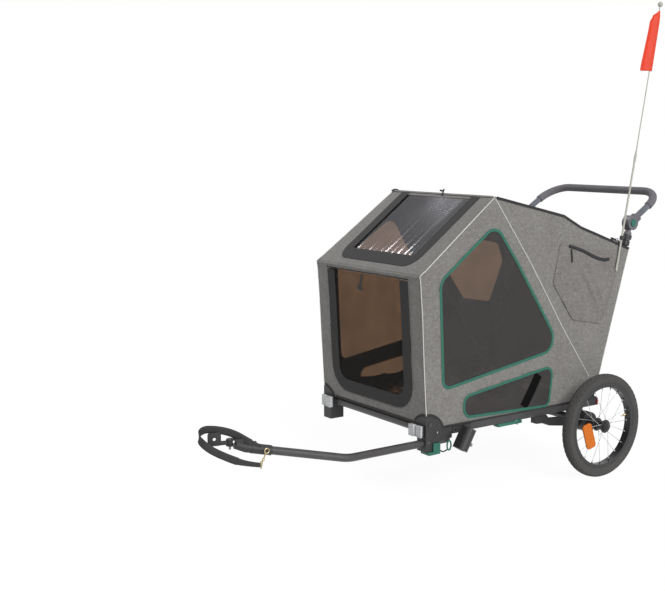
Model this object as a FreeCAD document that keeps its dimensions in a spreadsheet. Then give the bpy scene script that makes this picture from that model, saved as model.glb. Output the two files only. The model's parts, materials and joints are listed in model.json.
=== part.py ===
import FreeCAD, Part
import Sketcher
import math
import os
from types import SimpleNamespace
from FreeCAD import Placement, Rotation, Vector

# Dog bike trailer. Millimetres, +X forward, +Y the trailer's left, +Z up.
# The origin lies on the ground, under the middle of the wheel axle.

SIZES = {
    # Cabin cloth, seen from the side: x in front of the axle, reach behind it, z above the ground
    "cabin_width": 634,
    "ridge_inset": 20,
    "cloth": 2,
    "mesh_cloth": 1,
    "cloth_bottom": 283,
    "front_foot_x": 808,
    "front_fold_x": 845,
    "front_fold_z": 834,
    "front_cloth_bottom": 299,
    "ridge_x": 486,
    "ridge_z": 1100,
    "sag_start_x": 137,
    "sag_start_z": 1021,
    "sag_end_x": 47,
    "sag_end_z": 974,
    "rear_top_reach": 222,
    "rear_top_z": 878,
    "rear_foot_reach": 44,
    "door_side_margin": 70,
    "door_top": 815,
    "door_bottom": 341,
    "door_corner": 95,
    "door_gap": 0.5,
    "window_corner": 36,
    "wedge_corner": 28,
    "roof_window_margin": 102,
    "roof_window_front_x": 800,
    "roof_window_rear_x": 501,
    "roof_window_corner": 40,
    "pocket_thickness": 4,
    "pocket_corner": 24,
    # Chassis tubes
    "rail_width": 24,
    "rail_height": 30,
    "rail_wall": 2,
    "rail_top": 288,
    "rail_rear_reach": 66,
    "tube_wall": 2,
    "front_tube_diameter": 30,
    "front_tube_x": 793,
    "front_tube_z": 281,
    "rear_tube_diameter": 25,
    "rear_tube_reach": 50,
    "axle_tube_diameter": 28,
    "floor_thickness": 4,
    "floor_lap": 5,
    "floor_front_gap": 2,
    # Wheels
    "wheel_diameter": 406,
    "wheel_outset": 85,
    "tyre_width": 42,
    "tyre_wall": 4,
    "tyre_height": 36,
    "rim_depth": 15,
    "rim_width": 30,
    "rim_wall": 3,
    "spoke_diameter": 1.8,
    "spoke_stagger": 3,
    "spoke_gap": 0.2,
    "hub_flange_diameter": 52,
    "hub_flange_gap": 40,
    "hub_flange_thickness": 4,
    "hub_barrel_diameter": 36,
    "hub_outer_reach": 30,
    "hub_cap_wall": 4,
    "hub_gap": 0.5,
    "axle_diameter": 12,
    "bearing_diameter": 28,
    "bearing_width": 8,
    "running_clearance": 0.05,
    "reflector_length": 104,
    "reflector_width": 44,
    "reflector_thickness": 7,
    "reflector_round": 3,
    "reflector_radius_place": 87,
    "reflector_clip_gap": 0.8,
    # Axle arms under the rails
    "arm_reach": 272,
    "arm_width": 30,
    "boss_diameter": 80,
    "hub_inner_reach": 56,
    "boss_bolt_diameter": 12,
    "boss_bolt_height": 3,
    "boss_bolt_circle": 54,
    # Front corner brackets
    "bracket_front_x": 813,
    "bracket_proud": 4,
    "column_length": 61,
    "column_width": 49,
    "column_bottom": 206,
    "dome_radius": 70,
    "dome_center_x": 806,
    "dome_center_z": 265,
    "dome_front_inset": 5,
    "dome_plate": 4,
    "dome_cloth_gap": 1,
    "side_arm_length": 62,
    "side_arm_height": 33,
    "ear_width": 6,
    "ear_radius": 13,
    "ear_gap": 0.5,
    "light_depth": 22,
    "light_width": 66,
    "light_height": 44,
    "light_rise": 14,
    "light_inset": 8,
    "light_round": 3,
    "rear_light_depth": 6,
    # Folding frame
    "frame_tube": 20,
    "frame_wall": 1.5,
    "frame_side_gap": 0.7,
    "hoop_gap": 1.3,
    "pivot_pin": 8,
    "pin_head": 14,
    "pin_head_height": 3,
    "eye_radius": 13,
    "eye_width": 18,
    "front_pivot_x": 795,
    "front_pivot_z": 305,
    "front_post_top_x": 829,
    "front_post_top_z": 815,
    "rear_pivot_reach": 36,
    "rear_pivot_z": 312,
    "hinge_plate": 4,
    "hinge_length": 60,
    "hinge_cloth_gap": 0.4,
    "ridge_bar_x": 482,
    "ridge_bar_z": 1085,
    "hoop_corner": 60,
    # Push handle
    "handle_hub_reach": 240,
    "handle_hub_z": 975,
    "handle_hub_diameter": 58,
    "hub_eye_width": 12,
    "hub_cheek_inner": 7,
    "hub_cheek_outer": 15,
    "hub_play": 0.3,
    "handle_bar_reach": 431,
    "handle_bar_z": 1092,
    "handle_tube": 25,
    "handle_fork_length": 46,
    "grip_diameter": 32,
    "grip_clearance": 0.1,
    "button_diameter": 30,
    "button_length": 9,
    "button_clearance": 0.3,
    "button_floor": 4,
    "button_proud": 4,
    "collar_diameter": 30,
    "collar_length": 34,
    "collar_start": 622,
    # Flag
    "flag_rod_diameter": 8,
    "flag_top_diameter": 4.5,
    "flag_side_gap": 9,
    "flag_foot_reach": 142,
    "flag_foot_z": 792,
    "flag_joint_reach": 231,
    "flag_joint_z": 1241,
    "flag_top_reach": 343,
    "flag_top_z": 1827,
    "flag_ferrule_diameter": 10,
    "flag_ferrule_length": 50,
    "flag_ferrule_lip": 2,
    "flag_ferrule_step": 0.4,
    "flag_tip_diameter": 21,
    "flag_clearance": 0.1,
    "flag_clip_wall": 4,
    "flag_clip_height": 16,
    "flag_clip_along": 122,
    "pennant_drop": 237,
    "pennant_width": 72,
    "pennant_thickness": 1.6,
    "pennant_fold": 13,
    "pennant_gap": 0.4,
    "pennant_top_gap": 16,
    # Tow bar and hitch
    "tow_bar_diameter": 28,
    "tow_bar_inset": 20,
    "tow_bar_z": 235,
    "tow_bar_rear_x": 694,
    "tow_bend_x": 1135,
    "tow_bend_radius": 160,
    "tow_end_x": 1466,
    "tow_end_shift": 82,
    "tow_end_z": 305,
    "tow_clearance": 0.15,
    "tow_collar_diameter": 34,
    "tow_collar_length": 70,
    "tow_collar_clearance": 0.05,
    "strap_lug_width": 8,
    "strap_lug_length": 14,
    "strap_lug_inset": 5,
    "hook_lug_reach": 8,
    "socket_diameter": 32,
    "socket_length": 38,
    "socket_knee": 18,
    "hitch_pin_x": 1534,
    "hitch_pin_shift": 100,
    "hitch_pin_z": 331,
    "hitch_pin_diameter": 8,
    "hitch_pin_overhang": 12,
    "clevis_lug": 4,
    "clevis_radius": 13,
    "clevis_gap": 0.4,
    "barrel_diameter": 20,
    "barrel_height": 14,
    "hitch_eye_x": 1583,
    "hitch_eye_shift": 115,
    "hitch_eye_z": 345,
    "hitch_eye_bore": 10.4,
    "hitch_plate_thickness": 6,
    "hitch_plate_size": 44,
    "hitch_plate_round": 8,
    "strap_width": 25,
    "strap_thickness": 2,
    "hook_wire": 5,
    "hook_ring": 16,
    # Latch, slider and stroller-wheel socket, all on the left
    "latch_length": 62,
    "latch_height": 9,
    "latch_width": 40,
    "latch_gap": 0.4,
    "latch_tab_drop": 16,
    "latch_tab_length": 12,
    "slider_front_x": 466,
    "slider_length": 122,
    "slider_height": 12,
    "slider_lip": 3,
    "slider_lip_height": 10,
    "slider_gap": 0.3,
    "socket_x": 646,
    "socket_out": 30,
    "socket_z": 235,
    "socket_outer_diameter": 42,
    "socket_bore_diameter": 25.5,
    "socket_tube_length": 84,
    "socket_plate_length": 88,
    "socket_plate_height": 24,
    "socket_plate_thickness": 6,
    "spring_pin_diameter": 8,
    "spring_pin_length": 8,
    "spring_knob_diameter": 14,
    "spring_knob_length": 12,
    "spring_pin_clearance": 0.05,
    # Cuts run past what they cut by this much
    "overrun": 5,
}

# Counts, angles and shares of the sizes above
SPOKES = 20
SPOKE_CROSS_ANGLE = 22.0
BOSS_BOLTS = 3
REFLECTOR_ANGLE = -19.0
SOCKET_TILT = 30.0
ARM_SHARES = [(1, 1), (0.79, 1), (0.73, 0.66), (0, 0.38), (0, -0.38), (0.74, 0.2), (0.84, 0.45), (1, 0.5)]
BIG_WINDOW_SHARES = [(0.998, 0.88), (0.394, 0.359), (0.394, 0.272), (1.512, 0.168), (1.556, 0.648)]
BIG_WINDOW_ROUNDS = [1.4, 1.4, 1.4, 0.9, 1.5]
WEDGE_WINDOW_SHARES = [(0.42, 0.01), (1.306, 0.028), (1.317, 0.125), (0.377, 0.203)]
WEDGE_WINDOW_ROUNDS = [1, 1.3, 1.3, 1.2]
POCKET_SHARES = [(0.33, 0.78), (0.405, 0.589), (0.181, 0.41), (-0.15, 0.375), (-0.31, 0.6), (-0.24, 0.705)]
POCKET_ROUNDS = [1, 1, 1, 1, 1, 1]
HANDLE_GRIP_START_SHARE = 0.42
HANDLE_CORNER_SHARE = 0.97
PENNANT_FOLD_SHARES = [(-0.14, 0), (0, 0), (0.3, 1), (0.62, 0.1), (1, 0.8)]
PENNANT_CUT_SHARES = [(0, 0.12), (0.1, 0.64), (0.2, 0.82), (1, 1)]
REFLECTOR_CORNER_SHARE = 0.6
REAR_NOTCH_SHARE = 0.4
COLLAR_LUG_SHARE = 0.62
TONGUE_START_SHARE = 0.3
PIN_HEAD_SHARE = 0.8
STRAP_ARC_SHARE = 0.45
HOOK_SWIVEL_SHARE = 0.55
SPRING_PIN_SHARE = 0.12

# Middle line of the safety strap, from the lug on the collar round the loop to the hook:
# x, y from the line of the tow bar's rear run, and z
STRAP_ROUTE = [
    (1467, -82.1, 349),
    (1512, -97, 361),
    (1549, -113, 369),
    (1584, -128, 376),
    (1612, -134, 377),
    (1634, -126, 368),
    (1640, -107, 350),
    (1614, -88, 321),
    (1560, -73, 290),
    (1505, -61, 264),
    (1453, -54, 251),
]

doc = FreeCAD.newDocument("dog_bike_trailer")
sheet = doc.addObject("Spreadsheet::Sheet", "Sizes")
for row, (alias, value) in enumerate(SIZES.items(), start=1):
    sheet.set(f"A{row}", alias)
    sheet.set(f"B{row}", str(value))
    sheet.setAlias(f"B{row}", alias)
doc.recompute()


class Dim:
    """A length with its value and the sheet expression that it comes from."""

    def __init__(self, value, text):
        self.value = float(value)
        self.text = text

    def __float__(self):
        return self.value

    def __add__(self, other):
        other = as_dim(other)
        return Dim(self.value + other.value, f"({self.text} + {other.text})")

    def __sub__(self, other):
        other = as_dim(other)
        return Dim(self.value - other.value, f"({self.text} - {other.text})")

    def __mul__(self, factor):
        return Dim(self.value * factor, f"({self.text} * {factor})")

    def __truediv__(self, factor):
        return Dim(self.value / factor, f"({self.text} / {factor})")

    def __neg__(self):
        return Dim(-self.value, f"(0 - {self.text})")


def as_dim(size):
    """A bound length as it is, or a plain number as a constant."""
    return size if isinstance(size, Dim) else Dim(size, f"({float(size):.6f})")


S = SimpleNamespace(**{alias: Dim(sheet.get(alias), f"Sizes.{alias}") for alias in SIZES})
mm = SimpleNamespace(**{alias: float(sheet.get(alias)) for alias in SIZES})
NODES = {}


def node(label, obj):
    """Names a finished sub-part."""
    obj.Label = label
    NODES[label] = obj
    return obj


def bind(obj, path, size):
    obj.setExpression(path, as_dim(size).text)


def put(obj, at):
    for axis, size in zip("xyz", at):
        bind(obj, "Placement.Base." + axis, size)
    return obj


def vector(point):
    return Vector(*(float(size) for size in point))


def box(name, low, high):
    """A block between two corners, bound to the sheet."""
    solid = doc.addObject("Part::Box", name)
    for side, start, end in zip(("Length", "Width", "Height"), low, high):
        bind(solid, side, as_dim(end) - start)
    return put(solid, low)


def rod(name, radius, start, end):
    """A round bar from one point to another."""
    solid = doc.addObject("Part::Cylinder", name)
    steps = [as_dim(b) - a for a, b in zip(start, end)]
    run = vector(end) - vector(start)
    solid.Placement = Placement(Vector(), Rotation(Vector(0, 0, 1), run))
    bind(solid, "Radius", radius)
    squares = " + ".join(f"{step.text} * {step.text}" for step in steps)
    solid.setExpression("Height", f"sqrt({squares})")
    return put(solid, start)


def cut(name, base, tool):
    result = doc.addObject("Part::Cut", name)
    result.Base = base
    result.Tool = tool
    return result


def fuse(name, shapes):
    result = doc.addObject("Part::MultiFuse", name)
    result.Shapes = shapes
    result.Refine = True
    return result


def common(name, first, second):
    result = doc.addObject("Part::Common", name)
    result.Base = first
    result.Tool = second
    return result


def group(name, shapes):
    result = doc.addObject("Part::Compound", name)
    result.Links = shapes
    return result


def mirrored(name, source):
    """The same piece on the other side of the trailer."""
    result = doc.addObject("Part::Mirroring", name)
    result.Source = source
    result.Normal = Vector(0, 1, 0)
    return result


def pair(label, left):
    """The left piece and its mirror image in one node."""
    return node(label, group(label, [left, mirrored(label + "_mirror", left)]))


def shaped(name, shape):
    """A piece that the sketches and blocks don't suit, from a shape worked out here."""
    result = doc.addObject("Part::Feature", name)
    place = shape.Placement
    result.Shape = shape
    result.Placement = place
    return result


def tube(name, diameter, wall, start, end):
    outside = rod(name + "_outside", diameter / 2, start, end)
    inside = rod(name + "_inside", diameter / 2 - wall, start, end)
    return cut(name, outside, inside)


def sketch_in(body, name, plane, outline):
    """A closed polygon on one of the body's planes, every corner tied to the sheet."""
    sketch = body.newObject("Sketcher::SketchObject", name)
    face = next(f for f in body.Origin.OriginFeatures if f.Role == plane)
    sketch.AttachmentSupport = (face, [""])
    sketch.MapMode = "FlatFace"
    corners = [Vector(float(u), float(v), 0) for u, v in outline]
    count = len(corners)
    for i in range(count):
        sketch.addGeometry(Part.LineSegment(corners[i], corners[(i + 1) % count]), False)
    for i in range(count):
        sketch.addConstraint(Sketcher.Constraint("Coincident", i, 2, (i + 1) % count, 1))
    for i, (u, v) in enumerate(outline):
        for kind, size in (("DistanceX", as_dim(u)), ("DistanceY", as_dim(v))):
            index = sketch.addConstraint(Sketcher.Constraint(kind, -1, 1, i, 1, size.value))
            sketch.setExpression(f"Constraints[{index}]", size.text)
    return sketch


def padded(name, plane, outline, depth, at):
    """A flat outline pushed out to a depth. On XZ the push goes towards +Y."""
    body = doc.addObject("PartDesign::Body", name)
    sketch = sketch_in(body, name + "_outline", plane, outline)
    pad = body.newObject("PartDesign::Pad", name + "_pad")
    pad.Profile = sketch
    pad.Reversed = plane == "XZ_Plane"
    bind(pad, "Length", depth)
    return put(body, at)


def turned(name, outline, at):
    """A piece turned about the Y axis, from an outline of radius and width."""
    body = doc.addObject("PartDesign::Body", name)
    sketch = sketch_in(body, name + "_outline", "XY_Plane", outline)
    turn = body.newObject("PartDesign::Revolution", name + "_turn")
    turn.Profile = sketch
    turn.ReferenceAxis = (sketch, ["V_Axis"])
    turn.Angle = 360
    return put(body, at)


def rounded_block(name, low, high, radius):
    """A block with all its edges rounded."""
    body = doc.addObject("PartDesign::Body", name)
    block = body.newObject("PartDesign::AdditiveBox", name + "_block")
    for side, start, end in zip(("Length", "Width", "Height"), low, high):
        bind(block, side, as_dim(end) - start)
    doc.recompute()
    fillet = body.newObject("PartDesign::Fillet", name + "_round")
    fillet.Base = (block, [f"Edge{i + 1}" for i in range(len(block.Shape.Edges))])
    bind(fillet, "Radius", radius)
    return put(body, low)


def corner_arc(before, corner, after, radius):
    """Start, middle and end of the arc that rounds one corner."""
    back = (before - corner).normalize()
    on = (after - corner).normalize()
    half = back.getAngle(on) / 2
    reach = radius / math.tan(half)
    toward = (back + on).normalize()
    middle = corner + toward * (radius / math.sin(half) - radius)
    return corner + back * reach, middle, corner + on * reach


def rounded_outline(corners, radii):
    """A closed outline with rounded corners."""
    count = len(corners)
    arcs = [corner_arc(corners[i - 1], corners[i], corners[(i + 1) % count], radii[i]) for i in range(count)]
    edges = []
    for i in range(count):
        edges.append(Part.Arc(*arcs[i]).toShape())
        edges.append(Part.LineSegment(arcs[i][2], arcs[(i + 1) % count][0]).toShape())
    return Part.Wire(edges)


def bent_route(points, radii):
    """Straight runs joined by tangent arcs, one radius for each inner point."""
    edges = []
    here = points[0]
    for i, radius in enumerate(radii, start=1):
        start, middle, end = corner_arc(points[i - 1], points[i], points[i + 1], radius)
        edges.append(Part.LineSegment(here, start).toShape())
        edges.append(Part.Arc(start, middle, end).toShape())
        here = end
    edges.append(Part.LineSegment(here, points[-1]).toShape())
    return Part.Wire(edges)


def pipe(points, radii, radius):
    """A round bar along a bent route."""
    route = bent_route(points, radii)
    section = Part.Wire([Part.makeCircle(radius, points[0], points[1] - points[0])])
    return route.makePipeShell([section], True, False)


def facet(corners, thickness):
    """A flat piece of cloth with its thickness."""
    return Part.Face(Part.makePolygon(corners + corners[:1])).extrude(thickness)


def joined(solids):
    return solids[0].multiFuse(solids[1:]).removeSplitter()


def largest(shape):
    """The main piece that a cut leaves, without its offcuts."""
    return max(shape.Solids, key=lambda solid: solid.Volume)


# Places that several pieces share
HALF_CABIN = S.cabin_width / 2
RAIL_OUT = HALF_CABIN - S.cloth
RAIL_IN = RAIL_OUT - S.rail_width
RAIL_BOTTOM = S.rail_top - S.rail_height
AXLE_Z = S.wheel_diameter / 2
COLUMN_REAR = S.bracket_front_x - S.column_length
BRACKET_OUT = RAIL_OUT + S.bracket_proud
COLUMN_IN = BRACKET_OUT - S.column_width
POST_SIDE = RAIL_OUT - S.frame_side_gap - S.frame_tube / 2
HOOP_SIDE = POST_SIDE - S.frame_tube - S.hoop_gap
WHEEL_SIDE = HALF_CABIN + S.wheel_outset
BOSS_OUT = WHEEL_SIDE - S.hub_inner_reach
TOW_SIDE = HALF_CABIN - S.tow_bar_inset
FRONT_PIVOT = (S.front_pivot_x, S.front_pivot_z)
REAR_PIVOT = (-S.rear_pivot_reach, S.rear_pivot_z)
HANDLE_HUB = (-S.handle_hub_reach, S.handle_hub_z)


def along_y(name, radius, place, start, end):
    """A round bar across the trailer at a place given in the side view."""
    return rod(name, radius, (place[0], start, place[1]), (place[0], end, place[1]))


def side_rails():
    """Rectangular tubes along both sides of the floor."""
    outline = [(RAIL_IN, RAIL_BOTTOM), (RAIL_OUT, RAIL_BOTTOM), (RAIL_OUT, S.rail_top), (RAIL_IN, S.rail_top)]
    wall = S.rail_wall
    bore = [(RAIL_IN + wall, RAIL_BOTTOM + wall), (RAIL_OUT - wall, RAIL_BOTTOM + wall),
            (RAIL_OUT - wall, S.rail_top - wall), (RAIL_IN + wall, S.rail_top - wall)]
    length = COLUMN_REAR + S.rail_rear_reach
    at = (-S.rail_rear_reach, 0, 0)
    outside = padded("rail_outside", "YZ_Plane", outline, length, at)
    inside = padded("rail_inside", "YZ_Plane", bore, length, at)
    left = node("side_rail_left", cut("side_rail_left", outside, inside))
    node("side_rail_right", mirrored("side_rail_right", left))


def cross_tubes():
    """Round tubes between the rails: at the front, at the rear and at the axle."""
    front = (S.front_tube_x, S.front_tube_z)
    ends = (COLUMN_IN, RAIL_IN, RAIL_IN)
    rear = (-S.rear_tube_reach, RAIL_BOTTOM + S.rear_tube_diameter / 2)
    axle = (as_dim(0), AXLE_Z)
    names = ("front_cross_tube", "rear_cross_tube", "axle_tube")
    diameters = (S.front_tube_diameter, S.rear_tube_diameter, S.axle_tube_diameter)
    for name, place, end, diameter in zip(names, (front, rear, axle), ends, diameters):
        start_point = (place[0], -end, place[1])
        end_point = (place[0], end, place[1])
        node(name, tube(name, diameter, S.tube_wall, start_point, end_point))


def axle_arms():
    """Castings under the rails that carry the wheel axles on round bolted bosses."""
    drop = RAIL_BOTTOM - AXLE_Z
    outline = [(S.arm_reach * u, AXLE_Z + drop * v) for u, v in ARM_SHARES]
    arm = padded("arm_web", "XZ_Plane", outline, S.arm_width, (0, RAIL_IN, 0))
    center = (as_dim(0), AXLE_Z)
    boss = along_y("arm_boss", S.boss_diameter / 2, center, RAIL_IN, BOSS_OUT - S.boss_bolt_height)
    pieces = [arm, boss]
    for i in range(BOSS_BOLTS):
        turn = math.radians(90 + 360 * i / BOSS_BOLTS)
        place = (S.boss_bolt_circle / 2 * math.cos(turn), AXLE_Z + S.boss_bolt_circle / 2 * math.sin(turn))
        head = along_y(f"arm_bolt_{i}", S.boss_bolt_diameter / 2, place, BOSS_OUT - S.hub_cap_wall, BOSS_OUT)
        pieces.append(head)
    hub_seat = along_y("arm_seat", S.axle_diameter, center, BOSS_OUT - S.hub_cap_wall, BOSS_OUT)
    whole = fuse("arm_whole", pieces + [hub_seat])
    bore = along_y("arm_bore", S.axle_diameter / 2, center, RAIL_IN - S.overrun, BOSS_OUT + S.overrun)
    left = node("axle_arm_left", cut("axle_arm_left", whole, bore))
    node("axle_arm_right", mirrored("axle_arm_right", left))
    end = WHEEL_SIDE + S.hub_outer_reach - S.hub_cap_wall - S.hub_gap
    pair("wheel_axles", along_y("wheel_axle", S.axle_diameter / 2, center, RAIL_IN, end))


def quarter_dome(name, center, axis_y):
    """A quarter disc that caps the corner, on the side or on the front."""
    front = S.bracket_front_x
    if axis_y:
        disc = along_y(name + "_disc", S.dome_radius, center, RAIL_OUT, BRACKET_OUT)
        low = (center[0] - S.dome_radius, RAIL_OUT, center[1])
        high = (front, BRACKET_OUT, center[1] + S.dome_radius)
    else:
        side = BRACKET_OUT - S.dome_front_inset
        back = front - S.dome_plate
        disc = rod(name + "_disc", S.dome_radius, (back, side, center[1]), (front, side, center[1]))
        low = (back, side - S.dome_radius, center[1])
        high = (front, BRACKET_OUT, center[1] + S.dome_radius)
    return common(name, disc, box(name + "_quarter", low, high))


def corner_brackets():
    """Corner castings: a column, domed cheeks, a side arm on the rail and an ear for the front post."""
    front = S.bracket_front_x
    dome_center = (S.dome_center_x, S.dome_center_z)
    column = box("column", (COLUMN_REAR, COLUMN_IN, S.column_bottom), (front, BRACKET_OUT, S.rail_top))
    arm_rear = COLUMN_REAR - S.side_arm_length
    slope = S.side_arm_height / 2
    outline = [(COLUMN_REAR, S.cloth_bottom), (arm_rear, S.cloth_bottom),
               (arm_rear, S.cloth_bottom - slope), (COLUMN_REAR, S.cloth_bottom - S.side_arm_height)]
    side_arm = padded("side_arm", "XZ_Plane", outline, S.bracket_proud, (0, RAIL_OUT, 0))
    ear_out = POST_SIDE - S.frame_tube / 2 - S.ear_gap
    ear_low = (S.front_pivot_x - S.ear_radius, ear_out - S.ear_width, S.rail_top)
    ear_high = (S.front_pivot_x + S.ear_radius, ear_out, S.front_pivot_z)
    ear_foot = box("ear_foot", ear_low, ear_high)
    ear_eye = along_y("ear_eye", S.ear_radius, FRONT_PIVOT, ear_out - S.ear_width, ear_out)
    side_dome = quarter_dome("side_dome", dome_center, True)
    front_dome = quarter_dome("front_dome", dome_center, False)
    whole = fuse("bracket_whole", [column, side_arm, ear_foot, ear_eye, side_dome, front_dome])
    pin_hole = along_y("bracket_pin_hole", S.pivot_pin / 2 + S.running_clearance, FRONT_PIVOT,
                       ear_out - S.ear_width - S.overrun, BRACKET_OUT + S.overrun)
    right = cut("bracket_drilled", whole, pin_hole)
    node("corner_bracket_right", mirrored("corner_bracket_right", right))
    bore_start = (COLUMN_REAR - S.overrun, TOW_SIDE, S.tow_bar_z)
    bore_end = (front + S.overrun, TOW_SIDE, S.tow_bar_z)
    bore = rod("bracket_bore", S.tow_bar_diameter / 2 + S.tow_clearance, bore_start, bore_end)
    node("corner_bracket_left", cut("corner_bracket_left", right, bore))
    light_out = BRACKET_OUT - S.light_inset
    light_top = S.rail_top + S.light_rise
    light_low = (front, light_out - S.light_width, light_top - S.light_height)
    light_high = (front + S.light_depth, light_out, light_top)
    pair("front_reflectors", rounded_block("front_light", light_low, light_high, S.light_round))
    return ear_out - S.ear_width


def rear_hinges():
    """Plates with two ears on the rear end of each rail. The hoop and the handle post share one pin."""
    hoop_in = HOOP_SIDE - S.frame_tube / 2 - S.ear_gap
    low_x = -S.rail_rear_reach
    high_x = S.hinge_length - S.rail_rear_reach
    plate_top = S.rail_top + S.hinge_plate
    plate_out = RAIL_OUT - S.hinge_cloth_gap
    toe_low = (REAR_PIVOT[0] - S.ear_radius, plate_out - S.hinge_plate, S.rail_top)
    toe_high = (REAR_PIVOT[0] + S.ear_radius, BRACKET_OUT, plate_top)
    pieces = [
        box("hinge_plate", (low_x, hoop_in - S.ear_width, S.rail_top), (high_x, plate_out, plate_top)),
        box("hinge_toe", toe_low, toe_high),
    ]
    for name, start, end in (("inner", hoop_in - S.ear_width, hoop_in), ("outer", RAIL_OUT, BRACKET_OUT)):
        low = (REAR_PIVOT[0] - S.ear_radius, start, S.rail_top)
        high = (REAR_PIVOT[0] + S.ear_radius, end, REAR_PIVOT[1])
        pieces.append(box(name + "_hinge_foot", low, high))
        pieces.append(along_y(name + "_hinge_eye", S.ear_radius, REAR_PIVOT, start, end))
    whole = fuse("hinge_whole", pieces)
    bore = along_y("hinge_bore", S.pivot_pin / 2 + S.running_clearance, REAR_PIVOT,
                   hoop_in - S.ear_width - S.overrun, BRACKET_OUT + S.overrun)
    pair("rear_hinges", cut("rear_hinge", whole, bore))
    rear = (low_x - S.rear_light_depth, RAIL_IN, RAIL_BOTTOM)
    light = rounded_block("rear_light", rear, (low_x, BRACKET_OUT, S.rail_top), S.cloth)
    pair("rear_reflectors", light)
    return hoop_in - S.ear_width


def hinge_pins(front_in, rear_in):
    """Four pins with flat heads on the outside."""
    pins = []
    for name, place, start in (("front_pin", FRONT_PIVOT, front_in), ("rear_pin", REAR_PIVOT, rear_in)):
        shank = along_y(name + "_shank", S.pivot_pin / 2, place, start, BRACKET_OUT)
        head = along_y(name + "_head", S.pin_head / 2, place, BRACKET_OUT, BRACKET_OUT + S.pin_head_height)
        left = fuse(name, [shank, head])
        pins += [left, mirrored(name + "_mirror", left)]
    node("hinge_pins", group("hinge_pins", pins))


def floor_board():
    """The floor rests on both rails."""
    half = RAIL_IN + S.floor_lap
    rear = S.hinge_length - S.rail_rear_reach + S.floor_front_gap
    front = S.front_tube_x - S.front_tube_diameter / 2 - S.floor_front_gap
    low = (rear, -half, S.rail_top)
    node("floor_board", box("floor_board", low, (front, half, S.rail_top + S.floor_thickness)))


def eye_end(place, side):
    """The flat-sided eye of a frame tube round its pivot pin, with the hole left for later."""
    half = mm.eye_width / 2
    start = Vector(float(place[0]), float(side) - half, float(place[1]))
    return Part.makeCylinder(mm.eye_radius, mm.eye_width, start, Vector(0, 1, 0))


def pin_hole(place, side):
    half = mm.frame_tube / 2 + mm.overrun
    start = Vector(float(place[0]), float(side) - half, float(place[1]))
    return Part.makeCylinder(mm.pivot_pin / 2 + mm.running_clearance, 2 * half, start, Vector(0, 1, 0))


def straight_tube(start, end):
    run = end - start
    outside = Part.makeCylinder(mm.frame_tube / 2, run.Length, start, run)
    inside = Part.makeCylinder(mm.frame_tube / 2 - mm.frame_wall, run.Length, start, run)
    return outside, inside


def front_posts():
    """Two uprights that hold the front corners of the cloth."""
    side = float(POST_SIDE)
    foot = Vector(mm.front_pivot_x, side, mm.front_pivot_z)
    top = Vector(mm.front_post_top_x, side, mm.front_post_top_z)
    outside, inside = straight_tube(foot, top)
    eye = eye_end(FRONT_PIVOT, POST_SIDE)
    post = outside.cut(inside).fuse(eye).cut(pin_hole(FRONT_PIVOT, POST_SIDE))
    pair("front_posts", shaped("front_post", post.removeSplitter()))


def main_hoop():
    """One bent tube from a rear hinge up over the ridge and down to the other hinge."""
    side = float(HOOP_SIDE)
    foot_x, foot_z = (float(size) for size in REAR_PIVOT)
    places = [(foot_x, side, foot_z), (mm.ridge_bar_x, side, mm.ridge_bar_z)]
    points = [Vector(*p) for p in places] + [Vector(p[0], -p[1], p[2]) for p in reversed(places)]
    radii = [mm.hoop_corner, mm.hoop_corner]
    hoop = pipe(points, radii, mm.frame_tube / 2).cut(pipe(points, radii, mm.frame_tube / 2 - mm.frame_wall))
    for end in (side, -side):
        hoop = hoop.fuse(eye_end(REAR_PIVOT, end)).cut(pin_hole(REAR_PIVOT, end))
    node("main_hoop", shaped("main_hoop", hoop.removeSplitter()))


# The handle's hub across the trailer: cheek, post eye, cheek, with the post eye on the post's inner half
EYE_OUT = POST_SIDE + S.hub_eye_width / 2 - S.frame_tube / 4
EYE_IN = EYE_OUT - S.hub_eye_width
CHEEK_OUT = EYE_OUT + S.hub_play + S.hub_cheek_outer
CHEEK_IN = EYE_IN - S.hub_play - S.hub_cheek_inner


def handle_posts():
    """Posts from the rear hinges up to the handle's hubs, with a round eye on top."""
    side = float(POST_SIDE)
    foot = Vector(float(REAR_PIVOT[0]), side, float(REAR_PIVOT[1]))
    hub = Vector(float(HANDLE_HUB[0]), side, float(HANDLE_HUB[1]))
    run = hub - foot
    top = hub - run.normalize() * (mm.handle_hub_diameter / 2)
    outside, inside = straight_tube(foot, top)
    eye_start = Vector(hub.x, float(EYE_IN), hub.z)
    across = Vector(0, 1, 0)
    top_eye = Part.makeCylinder(mm.handle_hub_diameter / 2, mm.hub_eye_width, eye_start, across)
    reach = mm.handle_hub_diameter / 2 + mm.overrun
    neck = Part.makeBox(mm.frame_tube, mm.hub_eye_width, reach)
    neck.Placement = Placement(Vector(top.x, float(EYE_IN), top.z), Rotation(Vector(0, 0, 1), hub - foot))
    neck.translate(neck.Placement.Rotation.multVec(Vector(-mm.frame_tube / 2, 0, -mm.overrun)))
    post = outside.cut(inside).fuse(eye_end(REAR_PIVOT, POST_SIDE)).multiFuse([top_eye, neck])
    hole_start = eye_start - across * mm.overrun
    hole_length = mm.hub_eye_width + 2 * mm.overrun
    hole = Part.makeCylinder(mm.pivot_pin / 2 + mm.running_clearance, hole_length, hole_start, across)
    post = post.cut(pin_hole(REAR_PIVOT, POST_SIDE)).cut(hole)
    pair("handle_posts", shaped("handle_post", post.removeSplitter()))
    collar_foot = foot + run * mm.collar_start
    collar = Part.makeCylinder(mm.collar_diameter / 2, mm.collar_length, collar_foot, run)
    collar = collar.cut(Part.makeCylinder(mm.frame_tube / 2, mm.collar_length, collar_foot, run))
    pair("post_collars", shaped("post_collar", collar))


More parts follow.
